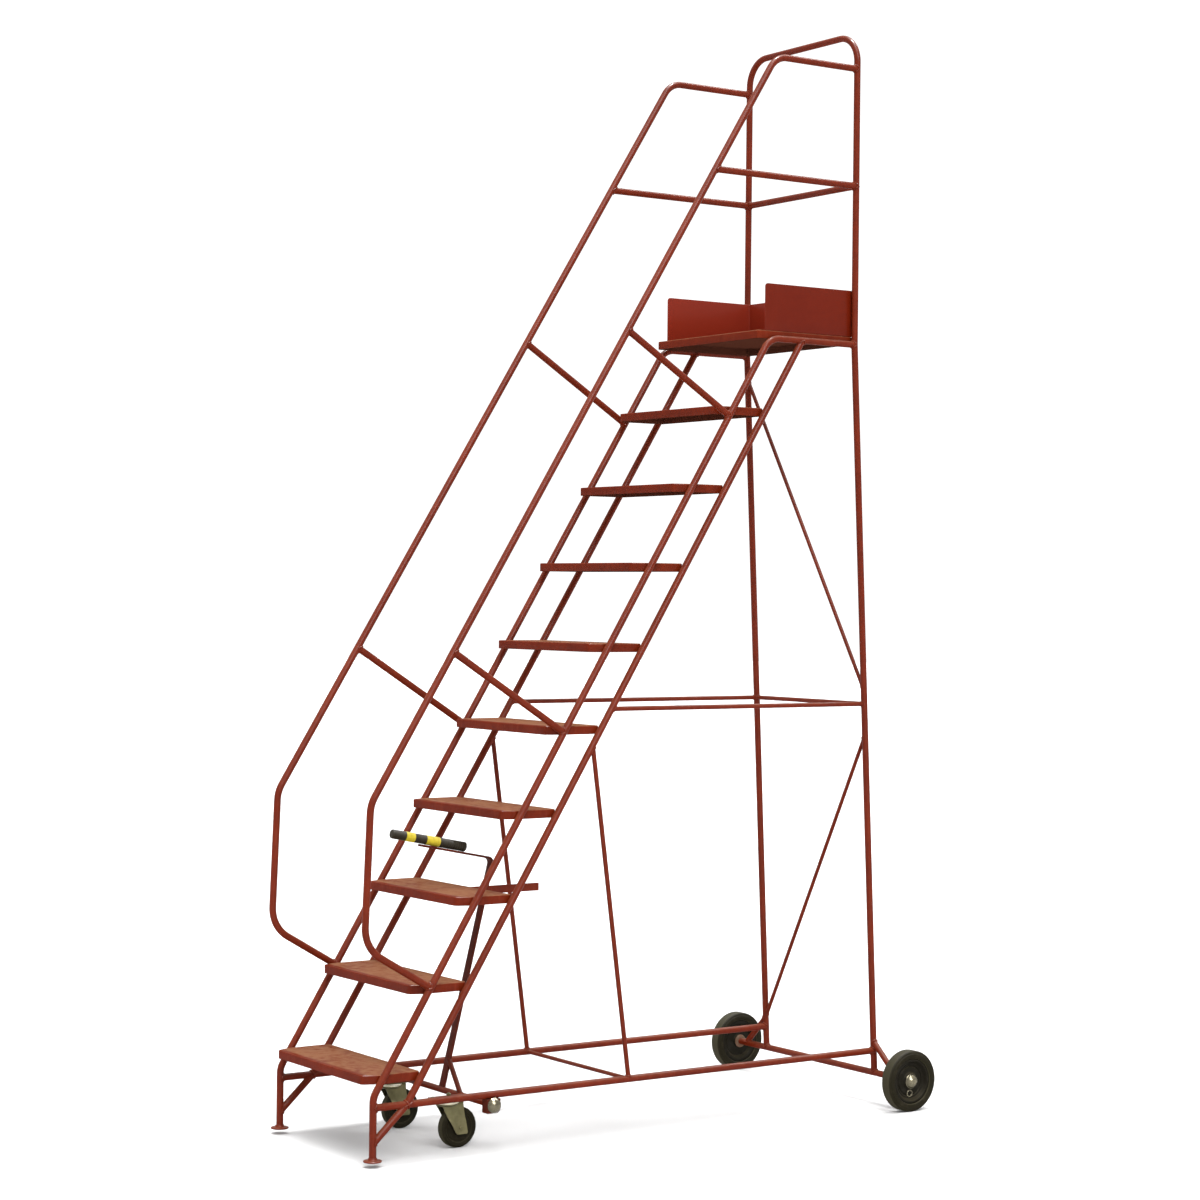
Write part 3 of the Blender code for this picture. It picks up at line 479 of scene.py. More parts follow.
def pan_grid(half, front, back, top, lip, sheet, fold, cut, radii, dish):
    """A folded sheet pan: one closed profile carried round the plan.

    The profile runs from the middle of the top out to the fold, down the lip, round its edge,
    up inside and back under the top to the middle. The front corners are cut off by cut (in, back).
    dish(u, v) is how far the flat has sunk, with u and v going from -1 to 1 across and along the pan.
    """
    right = [(half - cut[0], front), (half, front + cut[1]), (half, back)]
    corners = right + [(-x, y) for x, y in reversed(right)]
    outline, normal = sheet_outline(corners, radii + radii[::-1])
    middle = np.array((0.0, 0.5 * (front + back)))
    quarter = np.radians(np.linspace(90.0, 0.0, 7))
    fold_out = np.column_stack([fold - fold * np.cos(quarter), fold * np.sin(quarter) - fold])
    inner = fold - sheet
    fold_in = np.column_stack([fold - inner * np.cos(quarter[::-1]), inner * np.sin(quarter[::-1]) - fold])
    edge = np.radians(np.linspace(180.0, 360.0, 7))
    round_edge = np.column_stack(
        [0.5 * sheet + 0.5 * sheet * np.cos(edge), 0.5 * sheet * np.sin(edge) - lip + 0.5 * sheet]
    )
    rim = np.concatenate([fold_out, round_edge, fold_in])
    inset = outline[None] - rim[:, 0, None, None] * normal[None]
    height = np.broadcast_to(rim[:, 1, None], inset.shape[:2])
    share = np.linspace(0.0, 0.93, 12)
    top_flat = middle + share[:, None, None] * (inset[0] - middle)
    low_flat = middle + share[::-1, None, None] * (inset[-1] - middle)
    plan = np.concatenate([top_flat, inset, low_flat])
    level = np.concatenate(
        [np.zeros(top_flat.shape[:2]), height, np.full(low_flat.shape[:2], -sheet)]
    )
    u = plan[..., 0] / half
    v = 2.0 * (plan[..., 1] - middle[1]) / (back - front)
    level = level - dish(u, v) * (level > -1.5 * sheet)
    return np.concatenate([plan, (top + level)[..., None]], axis=-1)


def bowl(u, v):
    """1 in the middle of a pan and 0 at its rim: a parabola across times a parabola along."""
    return np.maximum(0.0, 1.0 - u * u) * np.maximum(0.0, 1.0 - v * v)


def block_grid(outline, hole, half, centre, chamfer=0.0008):
    """A bored block: its (y, z) outline drawn along X to half each way, with a round hole through it.

    The rows run over the outside with small chamfers and come back through the hole, whose radius is hole.
    """
    inside = hole * unit(outline)
    edge = outline - chamfer * unit(outline)
    lines = ((edge, -half), (outline, chamfer - half), (outline, half - chamfer), (edge, half))
    lines += ((inside, half), (inside, -half))
    rows = [np.column_stack([np.full(len(line), x), line]) for line, x in lines]
    return np.asarray(centre, float) + np.array(rows)


def closed(rows):
    """Rows with one more at each end, drawn together in the middle of the end row."""
    first, last = (np.broadcast_to(row.mean(axis=0), row.shape)[None] for row in (rows[0], rows[-1]))
    return np.concatenate([first, rows, last])


def strip_grid(path, ref, width, thick, round_r=0.0012, shift=0.0):
    """A flat bar: a rectangle with rounded edges carried along a path, wide along ref.

    width and shift may change along the path; shift moves the bar along ref.
    """
    path = np.asarray(path, float)
    tangent, _ = hoops(path, ref, 4)
    across = unit(ref - (tangent @ ref)[:, None] * tangent)
    normal = np.cross(tangent, across)
    width = np.broadcast_to(width, len(path))[:, None]
    shift = np.broadcast_to(shift, len(path))[:, None]
    t = np.radians(np.concatenate([np.linspace(q, q + 90.0, 5) for q in (0.0, 90.0, 180.0, 270.0)]))
    corner_a = np.repeat((1.0, -1.0, -1.0, 1.0), 5)
    corner_b = np.repeat((1.0, 1.0, -1.0, -1.0), 5)
    a = corner_a * (0.5 * width - round_r) + round_r * np.cos(t) + shift
    b = corner_b * (0.5 * thick - round_r) + round_r * np.sin(t)
    return closed(path[:, None] + a[..., None] * across[:, None] + b[:, None] * normal[:, None])


class Value:
    """A shader socket that takes part in Python sums: each operator adds a Math node."""

    def __init__(self, sheet, socket):
        self.sheet = sheet
        self.socket = socket

    def maths(self, operation, first, second):
        """A Math node on two values or numbers."""
        return self.sheet.add("ShaderNodeMath", {"operation": operation}, {0: first, 1: second})

    def __add__(self, other):
        return self.maths("ADD", self, other)

    def __radd__(self, other):
        return self.maths("ADD", other, self)

    def __sub__(self, other):
        return self.maths("SUBTRACT", self, other)

    def __rsub__(self, other):
        return self.maths("SUBTRACT", other, self)

    def __mul__(self, other):
        return self.maths("MULTIPLY", self, other)

    def __rmul__(self, other):
        return self.maths("MULTIPLY", other, self)


class Sheet:
    """One finish: a material and the nodes that are added to it."""

    def __init__(self, name):
        self.material = bpy.data.materials.new(name)
        self.material.use_nodes = True
        self.tree = self.material.node_tree
        self.shader = self.tree.nodes["Principled BSDF"]
        self.place = self.add("ShaderNodeTexCoord", output="Object")
        self.facing = self.add("ShaderNodeTexCoord", output="Normal")

    def put(self, socket, value):
        """Links a value to a socket, or sets a number or colour on it."""
        if isinstance(value, Value):
            self.tree.links.new(value.socket, socket)
        elif hasattr(socket.default_value, "__len__") and len(socket.default_value) == 4:
            socket.default_value = tuple(value)[:3] + (1.0,)
        else:
            socket.default_value = value

    def add(self, kind, settings=None, sockets=None, output=0):
        """Any node: its type, its settings, then the values or links of its sockets."""
        node = self.tree.nodes.new(kind)
        for key, value in (settings or {}).items():
            setattr(node, key, value)
        for key, value in (sockets or {}).items():
            self.put(node.inputs[key], value)
        return Value(self, node.outputs[output])

    def noise(self, scale, detail=3.0, rough=0.55, where=None):
        """Cloudy noise over the piece's own place, or over another vector."""
        sockets = {"Vector": where or self.place, "Scale": scale, "Detail": detail, "Roughness": rough}
        return self.add("ShaderNodeTexNoise", None, sockets)

    def ease(self, value, low, high):
        """0 below low, 1 above high and a smooth step between."""
        sockets = {"Value": value, "From Min": low, "From Max": high}
        return self.add("ShaderNodeMapRange", {"interpolation_type": "SMOOTHSTEP"}, sockets)

    def mix(self, share, first, second):
        """The first colour where share is 0, the second where it is 1."""
        return self.add("ShaderNodeMix", {"data_type": "RGBA"}, {0: share, 6: first, 7: second}, output=2)

    def stretch(self, scale):
        """The piece's own place, scaled along each axis."""
        return self.add("ShaderNodeMapping", None, {"Vector": self.place, "Scale": scale})

    def axis(self, vector, k):
        """One of a vector's three parts."""
        return self.add("ShaderNodeSeparateXYZ", None, {0: vector}, output=k)

    def bump(self, height, strength, distance):
        """The normal of a surface raised by a height."""
        sockets = {"Strength": strength, "Distance": distance, "Height": height}
        return self.add("ShaderNodeBump", None, sockets)

    def surface(self, **sockets):
        """The finished material, with the shader's named sockets set or linked."""
        for key, value in sockets.items():
            self.put(self.shader.inputs[key.replace("_", " ").title().replace("Ior", "IOR")], value)
        return self.material


def finish_named(name):
    """Marks a function that mixes a finish on its sheet: the material is made once and then reused."""

    def mark(mix):
        @functools.wraps(mix)
        def found(*rest):
            return bpy.data.materials.get(name) or mix(Sheet(name), *rest)

        return found

    return mark


def enamel(
    s, tints, dust_and_sheen, chips, shade=0.0, streaks=0.45, gloss=0.13, clean=None, painted_light=None, inner=None
):
    """Satin brushed enamel: mottled red with fine orange peel, small chips, and dust on upward faces
    that also paints the highlight of light falling from above.

    shade is how strongly faces that look down get painted shade; clean is the share of the dust that
    stays on; the share of painted light lightens the paint towards a lighter red; inner is the distance
    behind a pan's middle, by which the faces that look into the pan are told and get painted shade too.
    """
    up = s.axis(s.facing, 2)
    broad = s.noise(4.5, 3.0)
    cloud = s.noise(38.0, 4.0, 0.6)
    grain = s.noise(620.0, 2.0)
    red = s.mix(s.ease(0.55 * broad + 0.45 * cloud, 0.36, 0.66), tints.red_deep, tints.red)
    if streaks:
        streak = s.noise(1.0, 3.0, 0.6, s.stretch((90.0, 90.0, 14.0)))
        red = s.mix(streaks * s.ease(streak, 0.50, 0.78), red, tints.red_worn)
    # Painted light: the paint lightened towards a lighter red by the given share.
    if painted_light:
        red = s.mix(painted_light, red, tints.red_painted_light)
    # Mask for painted shade: faces that look down, and with inner also those that look into a pan; it also
    # takes the coat off them.
    under = s.ease(0.0 - up, 0.2, 0.9)
    if inner:
        outward = s.axis(s.facing, 0) * s.axis(s.place, 0) + s.axis(s.facing, 1) * inner
        under = under + (1.0 - under) * s.ease(0.0 - outward, 0.02, 0.06)
    # Painted shade on the faces that look down or into a pan.
    if shade:
        red = s.mix(shade * under, red, tints.pan_painted_shade)
    # Dust on upward faces, which also paints the highlight of light falling from above.
    lie = s.ease(up, 0.10, 0.95) * s.ease(0.6 * cloud + 0.4 * broad, 0.22, 0.60) * dust_and_sheen
    if clean:
        lie = lie * clean
    red = s.mix(lie, red, tints.dust_and_sheen)
    spot = s.noise(170.0, 5.0, 0.65)
    chip = s.ease(spot, 0.735 - 0.03 * chips, 0.755 - 0.03 * chips) * min(1.0, chips)
    red = s.mix(chip, red, tints.chip)
    return s.surface(
        base_color=red,
        roughness=0.40 + 0.16 * cloud + 0.28 * lie + 0.15 * chip,
        normal=s.bump(0.5 * grain + 0.7 * cloud - 0.6 * chip, 0.07, 0.0012),
        coat_weight=gloss * (1.0 - lie) * (1.0 - under),
        coat_roughness=0.22,
        specular_ior_level=0.0 if shade else 0.03,
    )


@finish_named("red_enamel")
def red_finish(s, p):
    """Plain enamel of tube and bar."""
    return enamel(s, p.tints, 0.30, 0.6)


@finish_named("painted_shade_enamel")
def painted_shade_finish(s, p):
    """Darker enamel that paints the shade on the lever and its bearings."""
    t = p.tints
    painted_shade_red = SimpleNamespace(red=t.painted_shade_red, red_deep=t.painted_shade_deep, red_worn=t.painted_shade_worn)
    painted_shade_red.dust_and_sheen, painted_shade_red.chip = t.painted_shade_dust_and_sheen, t.chip
    return enamel(s, painted_shade_red, 0.15, 1.0, gloss=0.03)


@finish_named("trodden_enamel")
def tread_finish(s, p):
    """Trodden enamel: dusty but for a strip along the nose, which feet keep clean; painted shade under the
    tread and inside its pan.
    """
    line = p.nose + p.shift - p.slope * p.f.first_tread
    behind = s.axis(s.place, 1) - p.slope * s.axis(s.place, 2) - line
    clean = 0.12 + 0.88 * s.ease(behind + 0.012 * s.noise(30.0, 3.0), 0.014, 0.034)
    return enamel(s, p.tints, 1.0, 1.0, 0.9, clean=clean, inner=behind - 0.5 * p.f.tread_depth)


@finish_named("deck_enamel")
def deck_finish(s, p):
    """Dusty enamel of the deck, with painted shade under it and inside the pan."""
    middle = 0.5 * (p.deck_front + p.post_y) + p.shift
    return enamel(s, p.tints, 1.0, 0.7, 1.0, inner=s.axis(s.place, 1) - middle)


@finish_named("board_enamel")
def board_finish(s, p):
    """Smooth enamel of the toe board, painted lighter on every face but the right arm's outer one, a
    painted light.
    """
    t = p.tints
    smooth = SimpleNamespace(red=t.board, red_deep=t.board_deep, red_painted_light=t.red_painted_light)
    smooth.dust_and_sheen, smooth.chip = t.dust_and_sheen, t.chip
    # Painted light: the share of lighter red, on all faces short of the right arm's outer face.
    painted_light = 0.9 * (1.0 - s.ease(s.axis(s.place, 0), p.toe_half - 0.001, p.toe_half + 0.001))
    return enamel(s, smooth, 0.30, 0.5, streaks=0.0, painted_light=painted_light)


@finish_named("black_rubber")
def rubber_finish(s, p):
    """Solid black rubber: dull, faintly dusty, with a fine moulded grain and a paler rolling band."""
    cloud = s.noise(30.0, 4.0, 0.6)
    grain = s.noise(900.0, 2.0)
    colour = s.mix(0.55 * s.ease(cloud, 0.46, 0.74), p.tints.rubber, p.tints.rubber_dust)
    across = s.axis(s.facing, 0)
    flank = across * across
    colour = s.mix(0.7 * (1.0 - s.ease(flank, 0.15, 0.60)), colour, p.tints.rolled)
    relief = s.bump(0.7 * grain + 0.6 * cloud, 0.25, 0.0010)
    dull = 0.50 + 0.26 * cloud
    return s.surface(base_color=colour, roughness=dull, normal=relief, specular_ior_level=0.04)


@finish_named("moulded_centre")
def centre_finish(s, p):
    """Moulded black plastic with a slight gloss, handling marks and dust on upward faces."""
    cloud = s.noise(45.0, 4.0, 0.6)
    scratch = s.noise(1.0, 3.0, 0.6, s.stretch((60.0, 400.0, 90.0)))
    colour = s.mix(0.5 * s.ease(cloud, 0.45, 0.75), p.tints.centre, p.tints.centre_worn)
    colour = s.mix(0.7 * s.ease(s.axis(s.facing, 2), 0.15, 0.70), colour, p.tints.rubber_dust)
    relief = s.bump(0.4 * scratch + 0.5 * cloud, 0.15, 0.0008)
    dull = 0.42 + 0.22 * cloud
    return s.surface(base_color=colour, roughness=dull, normal=relief, specular_ior_level=0.04)


def plated(s, colour, dark, rough, grain):
    """Plated steel: cloudy tone, fine scratches and a soft metal gloss."""
    cloud = s.noise(32.0, 3.0, 0.5)
    scratch = s.noise(1.0, 3.0, 0.6, s.stretch((160.0, 600.0, 120.0)))
    tone = s.mix(s.ease((1.0 - grain) * cloud + grain * scratch, 0.30, 0.70), dark, colour)
    relief = s.bump(0.5 * scratch + 0.4 * cloud, 0.10, 0.0005)
    dull = rough + 0.16 * cloud + 0.08 * scratch
    return s.surface(base_color=tone, metallic=0.88, roughness=dull, normal=relief)


@finish_named("bright_zinc")
def zinc_finish(s, p):
    """Bright plating of caps and eyelets."""
    return plated(s, p.tints.zinc, p.tints.zinc_dark, 0.13, 0.3)


@finish_named("olive_passivate")
def gold_finish(s, p):
    """Olive-gold plating of the castors' steel."""
    return plated(s, p.tints.gold, p.tints.gold_dark, 0.36, 0.15)


@finish_named("bright_race")
def race_finish(s, p):
    """Polished steel of the swivel races."""
    return plated(s, p.tints.race, p.tints.race_dark, 0.26, 0.2)


@finish_named("pale_bush")
def bush_finish(s, p):
    """Pale moulded bush, grubby in patches."""
    cloud = s.noise(110.0, 4.0, 0.6)
    colour = s.mix(s.ease(cloud, 0.42, 0.7), p.tints.bush, p.tints.bush_dark)
    relief = s.bump(cloud, 0.15, 0.001)
    dull = 0.45 + 0.2 * cloud
    return s.surface(base_color=colour, roughness=dull, normal=relief, specular_ior_level=0.05)


@finish_named("banded_grip")
def grip_finish(s, p, start, way):
    """Soft grip rubber: black and yellow bands told apart by the distance along the grip."""
    from_start = s.add("ShaderNodeVectorMath", {"operation": "SUBTRACT"}, {0: s.place, 1: tuple(start)})
    dot = {0: from_start, 1: tuple(way)}
    along = s.add("ShaderNodeVectorMath", {"operation": "DOT_PRODUCT"}, dot, "Value")
    cloud = s.noise(95.0, 4.0, 0.6)
    grain = s.noise(1100.0, 2.0)
    blur = 0.0005
    band = 0.0
    for low, high in GRIP_BANDS:
        band = band + s.ease(along, low - blur, low + blur) - s.ease(along, high - blur, high + blur)
    black = s.mix(0.6 * s.ease(cloud, 0.42, 0.72), p.tints.grip, p.tints.rubber_dust)
    yellow = s.mix(0.5 * s.ease(cloud, 0.45, 0.75), p.tints.yellow, p.tints.yellow_worn)
    relief = s.bump(0.8 * grain + 0.5 * cloud, 0.3, 0.0010)
    colour = s.mix(band, black, yellow)
    dull = 0.50 + 0.22 * cloud
    return s.surface(base_color=colour, roughness=dull, normal=relief, specular_ior_level=0.12)


@finish_named("pale_floor")
def floor_finish(s, tints):
    """Matt pale floor with faint clouds."""
    cloud = s.noise(1.3, 3.0)
    return s.surface(base_color=s.mix(cloud, tints.floor_dark, tints.floor), roughness=0.75 + 0.1 * cloud)


def plan_of(context):
    """Places of the frame's lines, worked out from the sizes; y is counted from the front leg."""
    scene = context.scene
    f, w, g = scene.ladder_frame, scene.ladder_wheels, scene.ladder_lever
    foot_low, foot_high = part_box("foot_pad_left")
    shift = 0.5 * (foot_low.y + foot_high.y)
    slope = f.run / f.rise
    p = SimpleNamespace(f=f, w=w, g=g, tints=scene.ladder_finishes, shift=shift, slope=slope)
    p.r = 0.5 * f.tube
    p.at = lambda x, y, z: np.array((x, y + shift, z))
    p.nose = -f.nose
    # Each of front, rear, rail and post gives the y of a tube's axis at a height.
    p.front = lambda z: p.nose + f.setback + (z - f.first_tread) * slope
    p.rear = lambda z: p.nose + f.rear_setback + (z - f.first_tread) * slope
    p.square = math.hypot(1.0, slope)
    p.rail = lambda z: p.front(z) - f.handrail_offset * p.square
    p.deck = f.first_tread + f.treads * f.rise
    p.deck_front = p.nose + f.treads * f.run + f.deck_gap
    p.side_tube = p.deck - f.side_drop
    p.post_y = p.deck_front + f.platform
    p.axle_y = p.post_y + f.rake
    p.axle_z = w.wheel
    p.post = lambda z: p.post_y + f.rake * max(0.0, p.side_tube - z) / (p.side_tube - p.axle_z)
    p.hoop_z = p.deck + f.hoop
    p.knee_z = p.deck + f.knee
    p.handrail_z = p.deck + f.handrail
    p.inside = f.half_width - p.r - GAP
    p.toe_half = p.inside - 0.5 * f.toe_sheet
    p.foot_top = foot_high.z
    p.foot_bottom = foot_low.z
    p.slant = unit((0.0, slope, 1.0))
    p.raked = unit((0.0, -f.rake, p.side_tube - p.axle_z))
    p.pivot = p.at(0.0, g.shaft_back, f.base_rail - p.r - GAP - g.block_top)
    return p


def tubes_of(p):
    """Every welded tube: name, path, radius, direction kept upright, and the walls at its two ends."""
    f, r, at = p.f, p.r, p.at
    w = f.half_width
    axle = (at(0.0, p.axle_y, p.axle_z), X_AXIS, r)
    made = []

    def tube(name, corners, bends, diameter, ref, walls):
        """A tube through corner points, with points added on its long straight runs."""
        made.append((name, spread(bent(corners, bends), TUBE_STEP), 0.5 * diameter, ref, walls))

    hoop = [at(-w, p.axle_y, p.axle_z), at(-w, p.post_y, p.side_tube), at(-w, p.post_y, p.hoop_z)]
    hoop += [c * (-1.0, 1.0, 1.0) for c in reversed(hoop)]
    tube("rear_hoop", hoop, (POST_BEND, f.hoop_bend, f.hoop_bend, POST_BEND), f.tube, Y_AXIS, (axle, axle))
    for side, sign in SIDES:
        x = sign * w
        leg = (at(x, 0.0, 0.0), Z_AXIS, r)
        base = (at(x, 0.0, f.base_rail), Y_AXIS, r)
        high = (at(x, 0.0, p.side_tube), Y_AXIS, r)
        stringer = (at(x, p.front(0.0), 0.0), p.slant, r)
        rear = (at(x, p.rear(0.0), 0.0), p.slant, r)
        rail = (at(x, p.rail(0.0), 0.0), p.slant, r)
        post = (at(x, p.post_y, p.deck), Z_AXIS, r)
        raked = (at(x, p.axle_y, p.axle_z), p.raked, r)

        def run(name, places, walls, bends=(), diameter=f.tube, x=x, side=side):
            """A tube in the plane of its side frame, through (y, z) places."""
            tube(name + "_" + side, [at(x, y, z) for y, z in places], bends, diameter, X_AXIS, walls)

        bend_z = f.first_tread - (p.nose + f.setback) / p.slope
        places = [(0.0, p.foot_top - FOOT_DEPTH), (0.0, bend_z)]
        places += [(p.front(p.side_tube), p.side_tube), (p.post_y, p.side_tube)]
        run("stringer_front", places, (None, post), STRINGER_BENDS)
        run("base_rail", [(0.0, f.base_rail), (p.post(f.base_rail), f.base_rail)], (leg, raked))
        foot = (p.rear(f.base_rail), f.base_rail)
        run("stringer_rear", [foot, (p.rear(p.side_tube), p.side_tube)], (base, high))
        run("foot_strut", [(0.0, f.foot_strut), foot], (leg, base))
        places = [(p.front(f.handrail_foot), f.handrail_foot), (-f.handrail_front, f.handrail_low)]
        places += [(p.rail(z), z) for z in (f.handrail_turn, p.handrail_z)]
        run("handrail", places + [(p.post_y, p.handrail_z)], (stringer, post), HANDRAIL_BENDS)
        for name, z in (("handrail_strut_lower", f.strut_lower), ("handrail_strut_upper", f.strut_upper)):
            drop = f.handrail_offset / p.square
            run(name, [(p.rail(z), z), (p.rail(z) + drop, z - drop * p.slope)], (rail, stringer))
        run("knee_rail", [(p.rail(p.knee_z), p.knee_z), (p.post_y, p.knee_z)], (rail, post))
        places = [(f.upright_foot, f.base_rail), (p.rear(f.upright_top), f.upright_top)]
        run("mid_upright", places, (base, rear), diameter=f.brace)
        places = [(p.rear(f.mid_bar), f.mid_bar), (p.post(f.mid_bar), f.mid_bar)]
        run("mid_side_bar", places, (rear, raked), diameter=f.brace)
        foot = at(sign * (w + f.stay_out), p.axle_y, p.axle_z + 2.0 * GAP)
        corners = [at(x, p.post(f.stay_top), f.stay_top), foot]
        tube("axle_stay_" + side, corners, (), f.stay, Y_AXIS, (raked, axle))
    posts = [(at(s * w, p.post_y, p.deck), Z_AXIS, r) for _, s in SIDES]
    raked = [(at(s * w, p.axle_y, p.axle_z), p.raked, r) for _, s in SIDES]
    bases = [(at(s * w, 0.0, f.base_rail), Y_AXIS, r) for _, s in SIDES]
    for name, y, z, diameter, walls in (
        ("knee_rail_back", p.post_y, p.knee_z, f.tube, posts),
        ("mid_cross_bar", p.post(f.mid_bar), f.mid_bar, f.brace, raked),
        ("base_cross_bar", f.upright_foot, f.base_rail, f.diagonal, bases),
    ):
        tube(name, [at(-w, y, z), at(w, y, z)], (), diameter, Y_AXIS, walls)
    for name, left, right in (
        ("rear_brace_upper", p.side_tube - f.brace_top, f.mid_bar + f.brace_over),
        ("rear_brace_lower", f.base_rail + f.brace_foot, f.mid_bar - f.brace_under),
    ):
        corners = [at(-w, p.post(left), left), at(w, p.post(right), right)]
        tube(name, corners, (), f.diagonal, Y_AXIS, raked)
    return made


class LADDER_OT_tubes(bpy.types.Operator):
    """Bent and straight frame tubes, each cut to fit the tube that it is welded to"""

    bl_idname = "ladder.tubes"
    bl_label = "Frame tubes"

    def execute(self, context):
        p = plan_of(context)
        for name, path, radius, ref, walls in tubes_of(p):
            shape = Shape().grid(tube_grid(path, radius, ref, walls))
            piece(name + "_tube", shape, red_finish(p), "frame", (name,))
        return {"FINISHED"}


class LADDER_OT_welds(bpy.types.Operator):
    """Weld beads round the ends of the frame tubes"""

    bl_idname = "ladder.welds"
    bl_label = "Weld beads"

    def execute(self, context):
        p = plan_of(context)
        groups = {}
        for name, path, radius, ref, walls in tubes_of(p):
            size = p.f.bead * (0.45 + 0.55 * radius / p.r)
            group = next((side for side, _ in SIDES if name.endswith(side)), "rear")
            for end, inner, wall in zip(path[[0, -1]], path[[1, -2]], walls):
                if wall is not None:
                    grid = bead_grid(end, end - inner, radius, ref, wall, size)
                    groups.setdefault(group, Shape()).grid(grid, ring=True)
        for group, shape in groups.items():
            piece("weld_beads_" + group, shape, red_finish(p), "frame", crease=80.0)
        return {"FINISHED"}


class LADDER_OT_treads(bpy.types.Operator):
    """Folded pan treads, sunk a little where they are trodden"""

    bl_idname = "ladder.treads"
    bl_label = "Treads"

    def execute(self, context):
        p = plan_of(context)
        f = p.f
        cut = (f.corner_in, f.corner_back)
        for k in range(f.treads):

            def dish(u, v, k=k):
                """Bowl across the tread with two shallow dents of its own."""
                dent = 0.35 * np.sin(2.1 * u + 1.3 * k) * np.cos(1.7 * v + 0.8 * k)
                return f.tread_sag * bowl(u, v) * (1.0 + dent)

            front = p.nose + k * f.run + p.shift
            top = f.first_tread + k * f.rise
            back = front + f.tread_depth
            grid = pan_grid(
                p.inside, front, back, top, f.tread_lip, f.sheet, f.fold, cut, TREAD_CORNERS, dish
            )
            node = "tread_" + str(k + 1)
            piece(node + "_pan", Shape().grid(grid), tread_finish(p), "frame", (node,))
        return {"FINISHED"}


class LADDER_OT_platform(bpy.types.Operator):
    """Platform deck pan and the toe board folded round three sides of it"""

    bl_idname = "ladder.platform"
    bl_label = "Platform"

    def execute(self, context):
        p = plan_of(context)
        shape = Shape().grid(self.deck(p))
        piece("platform_deck_pan", shape, deck_finish(p), "frame", ("platform_deck",))
        shape = Shape().grid(self.toe_board(p))
        piece("toe_board_fold", shape, board_finish(p), "frame", ("toe_board",))
        return {"FINISHED"}

    def deck(self, p):
        """A folded pan with a shallow bowl over the whole of it."""
        f = p.f
        front, back = p.deck_front + p.shift, p.post_y + p.shift

        def dish(u, v):
            """The bowl, scaled to the deck's sag."""
            return f.deck_sag * bowl(u, v)

        return pan_grid(
            p.inside, front, back, p.deck, f.deck_lip, f.sheet, f.fold, DECK_CUT, DECK_CORNERS, dish
        )

    def toe_board(self, p):
        """An upright strip along left arm, back and right arm; a quarter circle rounds each arm's top."""
        f = p.f
        front = p.deck_front + p.shift
        rear = p.post_y + p.shift - 0.5 * f.toe_sheet
        left, right = front + f.toe_left, front + f.toe_right
        middle = p.deck + GAP + 0.5 * f.toe_board
        corners = [(-p.toe_half, left), (-p.toe_half, rear), (p.toe_half, rear), (p.toe_half, right)]
        line = bent([(x, y, middle) for x, y in corners], (0.0045, 0.0045), 10.0)
        trim = f.toe_round * (1.0 - np.cos(np.linspace(0.0, 0.5 * math.pi, 7)))[:, None] * Y_AXIS
        line = np.concatenate([line[0] + trim, spread(line[1:-1], 0.08), line[-1] + trim[::-1]])
        from_end = np.minimum(line[:, 1] - np.where(line[:, 0] < 0.0, left, right), f.toe_round)
        drop = f.toe_round - np.sqrt(np.maximum(0.0, f.toe_round**2 - (f.toe_round - from_end) ** 2))
        return strip_grid(line, Z_AXIS, f.toe_board - drop, f.toe_sheet, 0.0011, -0.5 * drop)


class LADDER_OT_feet(bpy.types.Operator):
    """Flared steel feet under the front legs"""

    bl_idname = "ladder.feet"
    bl_label = "Feet"

    def execute(self, context):
        p = plan_of(context)
        tall = p.foot_top - p.foot_bottom
        profile = [(0.0, 0.0), (0.0, 0.0275), (0.0034, 0.0280), (0.0046, 0.0262)]
        profile += [(0.0060, 0.0150), (tall, 0.0128), (tall, 0.0)]
        rounds = (0.0008, 0.0010, 0.0010, 0.0030, 0.0010)
        for side, sign in SIDES:
            centre = p.at(sign * p.f.half_width, 0.0, p.foot_bottom)
            shape = Shape().turned(profile, rounds, centre, Z_AXIS, 56)
            node = "foot_pad_" + side
            piece(node + "_flare", shape, red_finish(p), "frame", (node,))
        return {"FINISHED"}


